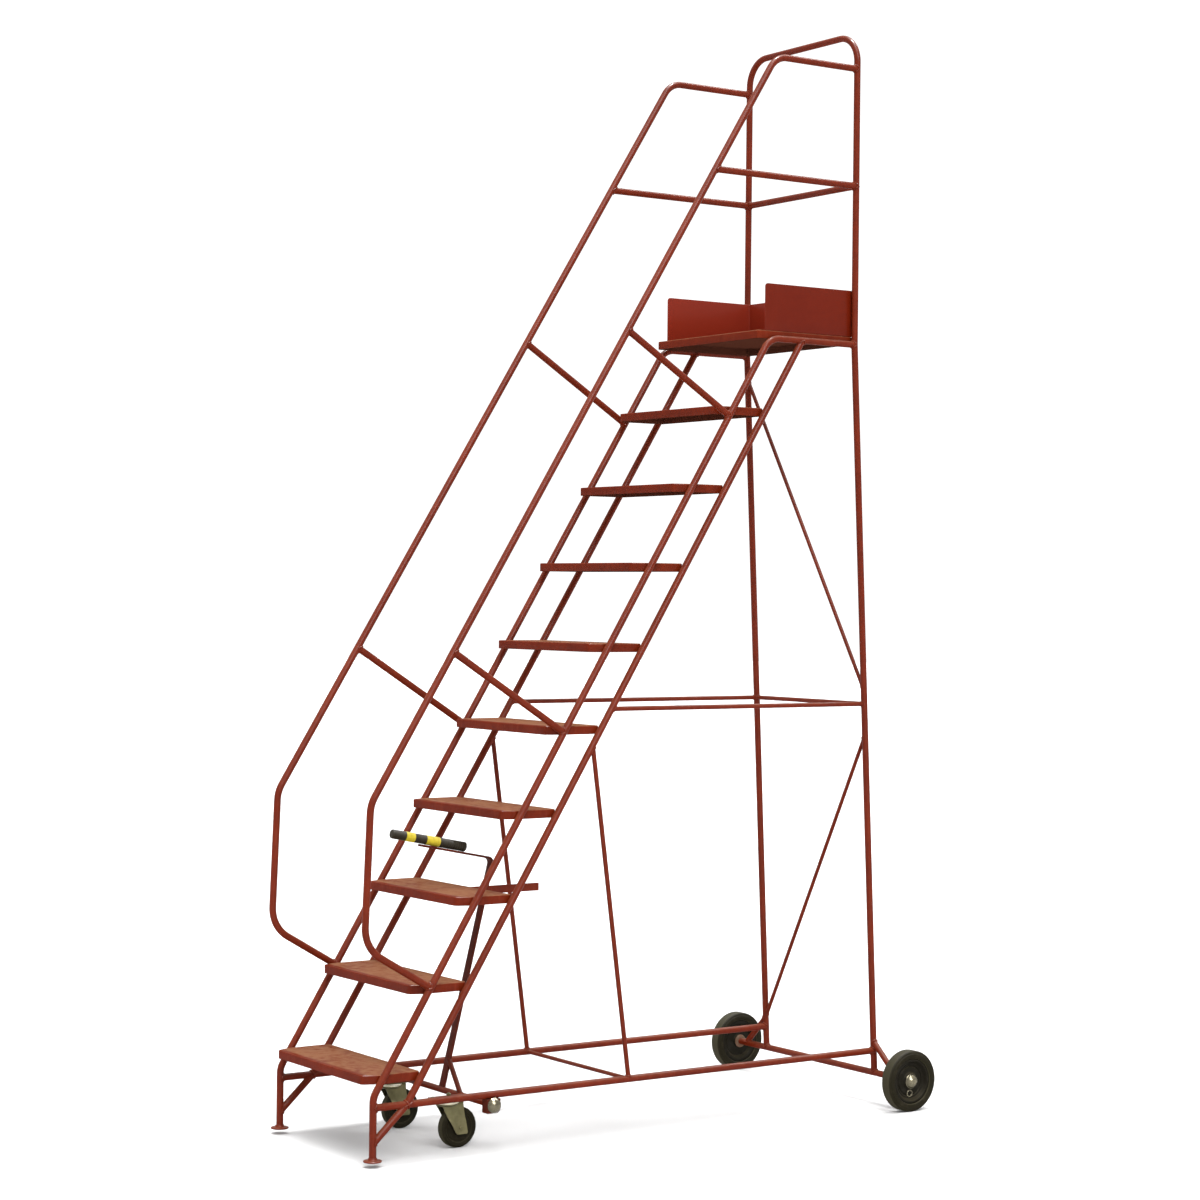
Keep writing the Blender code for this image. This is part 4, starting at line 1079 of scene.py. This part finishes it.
class LADDER_OT_rear_wheels(bpy.types.Operator):
    """Rear axle with its two plain wheels, bushes, eyelets and dome caps"""

    bl_idname = "ladder.rear_wheels"
    bl_label = "Rear wheels"

    def execute(self, context):
        p = plan_of(context)
        piece("axle_tube_turned", self.axle(p), red_finish(p), "frame", ("axle_tube",))
        for side, sign in SIDES:
            hub = p.at(sign * p.w.wheel_plane, p.axle_y, p.axle_z)
            axis = sign * X_AXIS
            body = "rear_wheel_" + side
            node = "rear_tyre_" + side
            shape = self.tyre(p.w, hub, axis)
            piece(node + "_turned", shape, rubber_finish(p), body, (node,))
            node = "rear_wheel_centre_" + side
            shape = self.centre(p.w, hub, axis)
            piece(node + "_turned", shape, centre_finish(p), body, (node,))
            piece("hub_bush_" + side, self.bush(hub, axis), bush_finish(p), body)
            shape = self.eyelet(hub - p.w.eyelet_drop * Z_AXIS, axis)
            piece("web_eyelet_" + side, shape, zinc_finish(p), body)
            node = "axle_cap_" + side
            piece(node + "_dome", self.cap(hub, axis), zinc_finish(p), "frame", (node,))
        return {"FINISHED"}

    def axle(self, p):
        """A tube with a thinner journal at each end."""
        journal, shoulder = p.w.wheel_plane + 0.0123, p.w.wheel_plane - 0.0243
        half = [(shoulder, p.r), (shoulder, p.w.axle), (journal, p.w.axle), (journal, 0.0)]
        profile = [(-along, radius) for along, radius in reversed(half)] + half
        rounds = (0.0008, 0.0, 0.0006, 0.0006, 0.0, 0.0008)
        return Shape().turned(profile, rounds, p.at(0.0, p.axle_y, p.axle_z), X_AXIS, 40)

    def tyre(self, w, hub, axis):
        """A solid tyre: half a section with a stepped flank, mirrored and turned about the hub."""
        seat, wall = w.wheel - w.tyre_depth, 0.5 * w.tyre_width
        half = [(wall - 0.0045, seat + 0.0004), (wall - 0.0010, seat + 0.0022), (wall, seat + 0.0060)]
        half += [(wall, w.wheel - 0.0110), (wall - 0.0014, w.wheel - 0.0096)]
        half += [(wall - 0.0018, w.wheel - 0.0042), (wall - 0.0058, w.wheel), (0.0, w.wheel)]
        rounds = (0.0008, 0.002, 0.003, 0.0012, 0.0012, 0.002, 0.003)
        rounds += (0.0,) + rounds[::-1]
        return Shape().turned(mirrored(half), rounds, hub, axis, 96, 10.0, ring=True)

    def centre(self, w, hub, axis):
        """A moulded centre: inner boss, web and rim, then rim, grooved web and outer boss, turned."""
        seat = w.wheel - w.tyre_depth
        profile = [(-0.0200, 0.0104), (-0.0200, 0.0175), (-0.0085, 0.0225), (-0.0050, 0.0530)]
        profile += [(-0.0150, 0.0590), (-0.0180, 0.0660), (-0.0165, seat), (0.0165, seat)]
        profile += [(0.0182, 0.0695), (0.0176, 0.0655), (0.0072, 0.0575), (0.0060, 0.0520)]
        profile += [(0.0032, 0.0500), (0.0032, 0.0470), (0.0058, 0.0450), (0.0066, 0.0300)]
        profile += [(0.0112, 0.0245), (0.0118, 0.0104)]
        rounds = (0.0, 0.001, 0.004, 0.004, 0.004, 0.003, 0.0005, 0.0005, 0.0015, 0.003, 0.004)
        rounds += (0.0015, 0.0012, 0.0012, 0.0015, 0.004, 0.002, 0.0)
        return Shape().turned(profile, rounds, hub, axis, 96, 10.0, ring=True)

    def bush(self, hub, axis):
        """A stepped ring turned about the hub, on its inner side."""
        profile = [(-0.0240, 0.0105), (-0.0240, 0.0215), (-0.0185, 0.0228)]
        profile += [(-0.0180, 0.0176), (-0.0202, 0.0176), (-0.0202, 0.0105)]
        return Shape().turned(profile, (0.0005, 0.002, 0.001, 0.0, 0.0, 0.0), hub, axis, 64, ring=True)

    def eyelet(self, place, axis):
        """A small rolled ring turned about its own place in the web."""
        profile = [(0.0040, 0.0082), (0.0040, 0.0126), (0.0072, 0.0126), (0.0082, 0.0104), (0.0072, 0.0082)]
        return Shape().turned(profile, (0.0, 0.0004, 0.001, 0.001, 0.0004), place, axis, 40, ring=True)

    def cap(self, hub, axis):
        """A dome with a small brim, turned about the axle's end."""
        low = 0.0126
        profile = [(low, 0.0), (low, 0.0245), (low + 0.0026, 0.0249), (low + 0.0036, 0.0232)]
        profile += [(low + 0.0108, 0.0190), (low + 0.0164, 0.0100), (low + 0.0177, 0.0)]
        return Shape().turned(profile, (0.0008, 0.001, 0.0012, 0.014, 0.011), hub, axis, 64, 8.0)


class LADDER_OT_rocker(bpy.types.Operator):
    """Rocking shaft with its bearing blocks under the base rails, dome caps and castor plates"""

    bl_idname = "ladder.rocker"
    bl_label = "Rocking shaft"

    def execute(self, context):
        p = plan_of(context)
        end = p.f.half_width + p.g.shaft_end
        profile = [(-end, 0.0), (-end, p.g.shaft), (end, p.g.shaft), (end, 0.0)]
        shape = Shape().turned(profile, (0.0006, 0.0006), p.pivot, X_AXIS, 40)
        piece("rocker_shaft_bar", shape, red_finish(p), "rocker", ("rocker_shaft",))
        for side, sign in SIDES:
            node = "rocker_block_" + side
            shape = self.block(p.g, p.pivot + sign * p.f.half_width * X_AXIS)
            piece(node + "_bored", shape, painted_shade_finish(p), "frame", (node,))
            shape = self.cap(p.pivot + sign * end * X_AXIS, sign * X_AXIS)
            piece("shaft_cap_" + side, shape, zinc_finish(p), "rocker")
            swivel = p.pivot + (sign * p.w.castor_x, -p.w.castor_lead, p.g.plate_lift)
            node = "castor_plate_" + side
            shape = self.plate(p, swivel)
            piece(node + "_sheet", shape, red_finish(p), "rocker", (node,))
            shape = self.top_plate(swivel)
            piece("castor_top_plate_" + side, shape, gold_finish(p), "rocker")
        return {"FINISHED"}

    def block(self, g, centre):
        """A bored block with one rounded lower corner, and the two weld beads on its top."""
        half = g.block_half
        corners = [(-half, -g.block_low), (half, -g.block_low), (half, g.block_top), (-half, g.block_top)]
        outline, _ = sheet_outline(corners, (0.003, 0.016, 0.001, 0.001), 0.003)
        shape = Shape().grid(block_grid(outline, g.shaft + GAP, 0.5 * g.block_width, centre), ring=True)
        for way in WAYS:
            top = centre + (0.0, way * 0.0085, g.block_top + 0.0008)
            shape.grid(straight_bead(top, 0.5 * g.block_width - 0.0005, 0.0032, 25))
        return shape

    def cap(self, place, axis):
        """A dome with a small brim, turned about the shaft's end."""
        profile = [(GAP, 0.0), (GAP, 0.0232), (0.0024, 0.0240), (0.0040, 0.0230)]
        profile += [(0.0118, 0.0188), (0.0174, 0.0098), (0.0187, 0.0)]
        return Shape().turned(profile, (0.0006, 0.0012, 0.003, 0.014, 0.011), place, axis, 64, 8.0)

    def plate(self, p, swivel):
        """A flat plate from in front of the swivel to the shaft's wall."""
        bore = p.g.shaft + GAP
        back = p.w.castor_lead - math.sqrt(bore**2 - p.g.plate_lift**2)
        path = [swivel + (0.0, -0.042, 0.0036), swivel + (0.0, back, 0.0036)]
        return Shape().grid(strip_grid(path, X_AXIS, 0.080, 0.0028, 0.0009))

    def top_plate(self, swivel):
        """The castor's own plate under it, with six-sided nuts behind and dome bolt heads in front."""
        path = [swivel + (0.0, -0.041, 0.0011), swivel + (0.0, 0.050, 0.0011)]
        shape = Shape().grid(strip_grid(path, X_AXIS, 0.078, 0.0021, 0.0008))
        nut = [(0.0, 0.0), (0.0, 0.0075), (0.0070, 0.0075), (0.0077, 0.0064)]
        nut += [(0.0077, 0.0042), (0.0092, 0.0042), (0.0097, 0.0036), (0.0097, 0.0)]
        head = [(0.0, 0.0), (0.0, 0.0078), (0.0012, 0.0074), (0.0026, 0.0040), (0.0029, 0.0)]
        bolt_x, nut_y, head_y, seat = 0.028, 0.024, -0.031, 0.005
        for way in WAYS:
            shape.turned(nut, (0.0,) * 6, swivel + (way * bolt_x, nut_y, seat), Z_AXIS, 6)
            shape.turned(head, (0.0006, 0.001, 0.003), swivel + (way * bolt_x, head_y, seat), Z_AXIS, 28)
        return shape


class LADDER_OT_lever(bpy.types.Operator):
    """Lever of bent flat bar with its brace rod, banded grip and latch bar"""

    bl_idname = "ladder.lever"
    bl_label = "Lever"

    def execute(self, context):
        p = plan_of(context)
        g = p.g
        up = np.array((0.0, math.sin(g.lean), math.cos(g.lean)))
        forward = np.array((0.0, -math.cos(g.rise), math.sin(g.rise)))
        over = np.array((0.0, math.sin(g.rise), math.cos(g.rise)))
        corner = p.pivot + up * (g.top - p.pivot[2]) / math.cos(g.lean)
        shape = self.bar(p, up, forward, corner)
        piece("lever_bar_flat", shape, painted_shade_finish(p), "rocker", ("lever_bar",))
        start = corner + over * (0.5 * (g.thick + g.grip_width) + GAP) + forward * g.grip_start
        shape, banded = self.grip(g, start, forward), grip_finish(p, start, forward)
        piece("lever_grip_rubber", shape, banded, "rocker", ("lever_grip",))
        piece("latch_bar_flat", self.latch(), red_finish(p), "frame", ("latch_bar",))
        return {"FINISHED"}

    def bar(self, p, up, forward, corner):
        """A flat bar bent once, a round rod from it down to the shaft, and the beads at their feet."""
        g = p.g
        path = bent([p.pivot + up * 0.0085, corner, corner + forward * g.handle], (g.bend,), 5.0)
        shape = Shape().grid(strip_grid(path, X_AXIS, g.width, g.thick))
        shaft = (p.pivot, X_AXIS, g.shaft)
        rod = np.array((p.pivot + up * g.rod_top + X_AXIS * 0.004, p.pivot + X_AXIS * g.rod_foot))
        shape.grid(tube_grid(rod, g.rod, Y_AXIS, (None, shaft), 28))
        shape.grid(bead_grid(rod[1], rod[1] - rod[0], g.rod, Y_AXIS, shaft, 0.0019, 72), ring=True)
        for way in WAYS:
            foot = p.pivot + up * 0.0100 + forward * way * 0.0030
            shape.grid(straight_bead(foot, 0.0125, 0.0022, 21))
        return shape

    def grip(self, g, start, forward):
        """A turned sleeve: a collar, a row of ribs, two raised bands and a rounded end."""
        r = 0.5 * g.grip_width
        valley, crest, sleeve, band = r - 0.0012, r - 0.0002, r - 0.0010, r - 0.0004
        ribs = np.arange(0.016, 0.091, 0.0082)
        profile = [(0.0, 0.0), (0.0, r - 0.0030), (0.0, r), (0.0110, r), (0.0125, valley)]
        for rib in ribs:
            profile += [(rib, valley), (rib + 0.0012, crest), (rib + 0.0048, crest), (rib + 0.0060, valley)]
        for low, high in GRIP_BANDS:
            profile += [(low - 0.0002, sleeve), (low + 0.0002, band)]
            profile += [(high - 0.0002, band), (high + 0.0002, sleeve)]
        profile += [(g.grip - 0.0010, sleeve), (g.grip, r - 0.0060), (g.grip, 0.0)]
        rounds = [0.0, 0.0024, 0.001, 0.0004] + [0.0005] * (4 * len(ribs))
        rounds += [0.0002] * (4 * len(GRIP_BANDS)) + [0.004, 0.004]
        return Shape().turned(profile, rounds, start, forward, 56, 15.0)

    def latch(self):
        """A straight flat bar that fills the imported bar's box."""
        low, high = (np.array(corner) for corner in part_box("latch_bar"))
        x, _, z = 0.5 * (low + high)
        path = [(x, low[1], z), (x, high[1], z)]
        return Shape().grid(strip_grid(path, Z_AXIS, high[2] - low[2], high[0] - low[0], 0.0010))


class LADDER_OT_castors(bpy.types.Operator):
    """Swivel castors: pressed forks, ball races, axle rivets and black wheels"""

    bl_idname = "ladder.castors"
    bl_label = "Castors"

    def execute(self, context):
        p = plan_of(context)
        w = p.w
        for side, sign in SIDES:
            swivel = p.pivot + (sign * w.castor_x, -w.castor_lead, p.g.plate_lift - GAP)
            axle = swivel + (0.0, w.castor_trail, w.castor - swivel[2])
            fork = "castor_swivel_" + side
            node = "castor_fork_" + side
            shape = self.fork(w, swivel, axle)
            piece(node + "_pressed", shape, gold_finish(p), fork, (node,))
            piece("castor_race_" + side, self.race(swivel), race_finish(p), fork)
            node = "castor_wheel_" + side
            shape = self.wheel(w, axle)
            piece(node + "_turned", shape, rubber_finish(p), "castor_roll_" + side, (node,))
        return {"FINISHED"}

    def fork(self, w, crown, axle):
        """A pressed fork: a folded sheet drawn across an upside-down U, a cup and the axle's rivet heads.

        The legs narrow on the way down and shift back to the axle; their front and rear edges are
        pressed inwards between crown and hub, and their lower corners are rounded.
        """
        mid, half = 0.5 * (w.fork_gap + w.fork_sheet), 0.5 * w.fork_sheet
        head, bottom = crown[2] - 0.014, w.castor - 0.020
        level = crown[2] - 0.0010 - half
        corners = [(-mid, 0.0, bottom), (-mid, 0.0, level), (mid, 0.0, level), (mid, 0.0, bottom)]
        path = spread(bent(corners, (0.0065, 0.0065), 9.0), 0.005)
        z = path[:, 2]
        down = np.clip((head - z) / (head - bottom), 0.0, 1.0)
        tip = np.clip((z - bottom) / 0.004, 0.0, 1.0)
        tip = 0.0035 * (1.0 - np.sqrt(1.0 - (1.0 - tip) ** 2))
        top_front, top_back = -0.026, 0.047
        low_front, low_back = w.castor_trail - 0.014, w.castor_trail + 0.026
        front = top_front + (low_front - top_front) * down + tip
        back = top_back + (low_back - top_back) * down - tip
        share = np.linspace(0.0, 1.0, 19)
        y = front[:, None] + share * (back - front)[:, None]
        press = np.clip(5.0 * down, 0.0, 1.0) * np.clip((z - w.castor - 0.018) / 0.012, 0.0, 1.0)
        fold = 0.0050 * np.clip((0.30 - share) / 0.30, 0.0, 1.0)
        fold = fold + 0.0022 * np.clip((share - 0.80) / 0.20, 0.0, 1.0)
        inward = (press * np.sign(path[:, 0]))[:, None] * fold
        flat = path[:, None] + y[..., None] * Y_AXIS - inward[..., None] * X_AXIS
        skin = half * np.cross(hoops(path, Y_AXIS, 4)[0], Y_AXIS)[:, None]
        loop = np.concatenate([flat + skin, (flat - skin)[:, ::-1]], axis=1)
        shape = Shape().grid(crown * (1.0, 1.0, 0.0) + closed(loop))
        cup = [(-0.0172, 0.0), (-0.0172, 0.0270), (-0.0140, 0.0340), (-0.0096, 0.0358), (-0.0092, 0.0)]
        shape.turned(cup, (0.002, 0.004, 0.0015), crown, Z_AXIS)
        end = mid + half
        rivet = [(0.0, 0.0), (0.0, 0.0055), (end, 0.0055), (end + 0.0012, 0.0048)]
        rivet += [(end + 0.0018, 0.0030), (end + 0.0018, 0.0)]
        for way in WAYS:
            shape.turned(rivet, (0.0, 0.0, 0.001, 0.001), axle, way * X_AXIS, 32)
        return shape

    def race(self, crown):
        """Two stacked rings with a groove between them, turned about the swivel."""
        profile = [(-0.0090, 0.0), (-0.0090, 0.0362), (-0.0074, 0.0370), (-0.0068, 0.0360)]
        profile += [(-0.0058, 0.0388), (-0.0020, 0.0398), (-0.0008, 0.0385), (-0.0008, 0.0)]
        return Shape().turned(profile, (0.0006, 0.0004, 0.0004, 0.0010, 0.0010, 0.0006), crown, Z_AXIS)

    def wheel(self, w, axle):
        """Half a section with hub, thin web and thick rim, mirrored and turned about the axle."""
        hub = 0.5 * w.fork_gap - 0.001
        half = [(hub, 0.0064), (hub, 0.0140), (0.0112, 0.0165), (0.0100, 0.0200), (0.0100, 0.0440)]
        half += [(0.0142, 0.0470), (0.0150, 0.0495), (0.0150, 0.0570), (0.0095, w.castor), (0.0, w.castor)]
        rounds = (0.0, 0.001, 0.002, 0.002, 0.002, 0.002, 0.002, 0.004, 0.006)
        rounds += (0.0,) + rounds[::-1]
        return Shape().turned(mirrored(half), rounds, axle, X_AXIS, 80, 10.0, ring=True)


# Each lamp: name, strength, width in degrees, direction it shines from, and whether it lights matt
# surfaces too or only makes highlights.
LAMPS = (
    ("key", 3.2, 36.0, (0.69, -0.22, 1.0), True),
    ("glint", 1.8, 18.0, (-0.12, -0.10, 1.0), True),
    ("rail_gloss", 3.0, 22.0, (-0.10, 0.62, 0.78), False),
    ("stringer_gloss", 2.5, 24.0, (0.86, -0.12, 0.49), False),
    ("spark", 30.0, 4.0, (0.0, 0.10, 1.0), False),
)


def stand(scene, name, data, axes, place):
    """Puts a lamp or camera into the scene, turned so that its X, Y and Z lie along the axes."""
    obj = bpy.data.objects.new(name, data)
    basis = np.column_stack([*axes, place])
    obj.matrix_world = Matrix(np.vstack([basis, (0.0, 0.0, 0.0, 1.0)]).tolist())
    scene.collection.objects.link(obj)
    return obj


class LADDER_OT_stage(bpy.types.Operator):
    """Pale floor, soft studio light and the camera"""

    bl_idname = "ladder.stage"
    bl_label = "Stage"

    def execute(self, context):
        scene = context.scene
        self.floor(scene)
        self.light(scene)
        self.camera(scene)
        scene.view_settings.view_transform = "Standard"
        return {"FINISHED"}

    def floor(self, scene):
        """A flat disc: rings of growing radius round the stand."""
        sides = 96
        t = turn_of(sides)
        ring = np.column_stack([np.cos(t), np.sin(t), 0.0 * t])
        rows = np.array((0.0, 2.0, 5.0, 12.0, 30.0, 60.0))[:, None, None] * ring
        index = np.arange(len(rows) * sides).reshape(-1, sides)
        a, d = index[:-1], index[1:]
        faces = np.stack([a, d, np.roll(d, -1, 1), np.roll(a, -1, 1)], -1).reshape(-1, 4)
        mesh = bpy.data.meshes.new("floor")
        mesh.from_pydata(rows.reshape(-1, 3).tolist(), [], faces.tolist())
        mesh.update()
        mesh.materials.append(floor_finish(scene.ladder_finishes))
        floor = bpy.data.objects.new("floor", mesh)
        scene.collection.objects.link(floor)

    def light(self, scene):
        """An even white surround and the lamps."""
        world = bpy.data.worlds.new("studio")
        world.use_nodes = True
        surround = world.node_tree.nodes["Background"].inputs
        surround["Color"].default_value = (1.0, 1.0, 1.0, 1.0)
        surround["Strength"].default_value = 1.2
        scene.world = world
        for name, strength, wide, place, lights_all in LAMPS:
            light = bpy.data.lights.new(name, "SUN")
            light.energy = strength
            light.angle = math.radians(wide)
            back = unit(place)
            right = unit(np.cross(Z_AXIS, back))
            lamp = stand(scene, name, light, (right, np.cross(back, right), back), 8.0 * back)
            lamp.visible_diffuse = lights_all

    def camera(self, scene):
        """A camera turned by yaw, then pitch, then roll."""
        st = scene.ladder_stage
        forward = np.array((-math.sin(st.yaw), math.cos(st.yaw), 0.0))
        right = np.array((math.cos(st.yaw), math.sin(st.yaw), 0.0))
        look = forward * math.cos(st.pitch) + Z_AXIS * math.sin(st.pitch)
        above = Z_AXIS * math.cos(st.pitch) - forward * math.sin(st.pitch)
        across = right * math.cos(st.roll) + above * math.sin(st.roll)
        above = above * math.cos(st.roll) - right * math.sin(st.roll)
        data = bpy.data.cameras.new("camera")
        data.sensor_fit = "AUTO"
        data.sensor_width = 36.0
        data.lens = st.lens
        data.clip_end = 200.0
        scene.camera = stand(scene, "camera", data, (across, above, -look), np.array(st.eye))


class LADDER_PT_panel(bpy.types.Panel):
    """Lists the steps that build the ladder stand"""

    bl_idname = "LADDER_PT_panel"
    bl_label = "Ladder stand"
    bl_space_type = "VIEW_3D"
    bl_region_type = "UI"
    bl_category = "Ladder"

    def draw(self, context):
        for operator in OPERATORS:
            self.layout.operator(operator.bl_idname)


GROUPS = (
    ("ladder_frame", LadderFrameSizes),
    ("ladder_wheels", LadderWheelSizes),
    ("ladder_lever", LadderLeverSizes),
    ("ladder_finishes", LadderFinishes),
    ("ladder_stage", LadderStage),
)
OPERATORS = (
    LADDER_OT_stage,
    LADDER_OT_tubes,
    LADDER_OT_welds,
    LADDER_OT_treads,
    LADDER_OT_platform,
    LADDER_OT_feet,
    LADDER_OT_rear_wheels,
    LADDER_OT_rocker,
    LADDER_OT_lever,
    LADDER_OT_castors,
)


def register():
    """Adds the property groups to the scene, then the operators and the panel."""
    for name, group in GROUPS:
        bpy.utils.register_class(group)
        setattr(bpy.types.Scene, name, bpy.props.PointerProperty(type=group))
    for cls in OPERATORS + (LADDER_PT_panel,):
        bpy.utils.register_class(cls)


def unregister():
    """Takes away what register added, in the opposite order."""
    for cls in reversed(OPERATORS + (LADDER_PT_panel,)):
        bpy.utils.unregister_class(cls)
    for name, group in reversed(GROUPS):
        delattr(bpy.types.Scene, name)
        bpy.utils.unregister_class(group)


def main():
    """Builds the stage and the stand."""
    register()
    bpy.ops.ladder.stage()
    bpy.ops.ladder.tubes()
    bpy.ops.ladder.welds()
    bpy.ops.ladder.treads()
    bpy.ops.ladder.platform()
    bpy.ops.ladder.feet()
    bpy.ops.ladder.rear_wheels()
    bpy.ops.ladder.rocker()
    bpy.ops.ladder.lever()
    bpy.ops.ladder.castors()


if __name__ == "__main__":
    main()
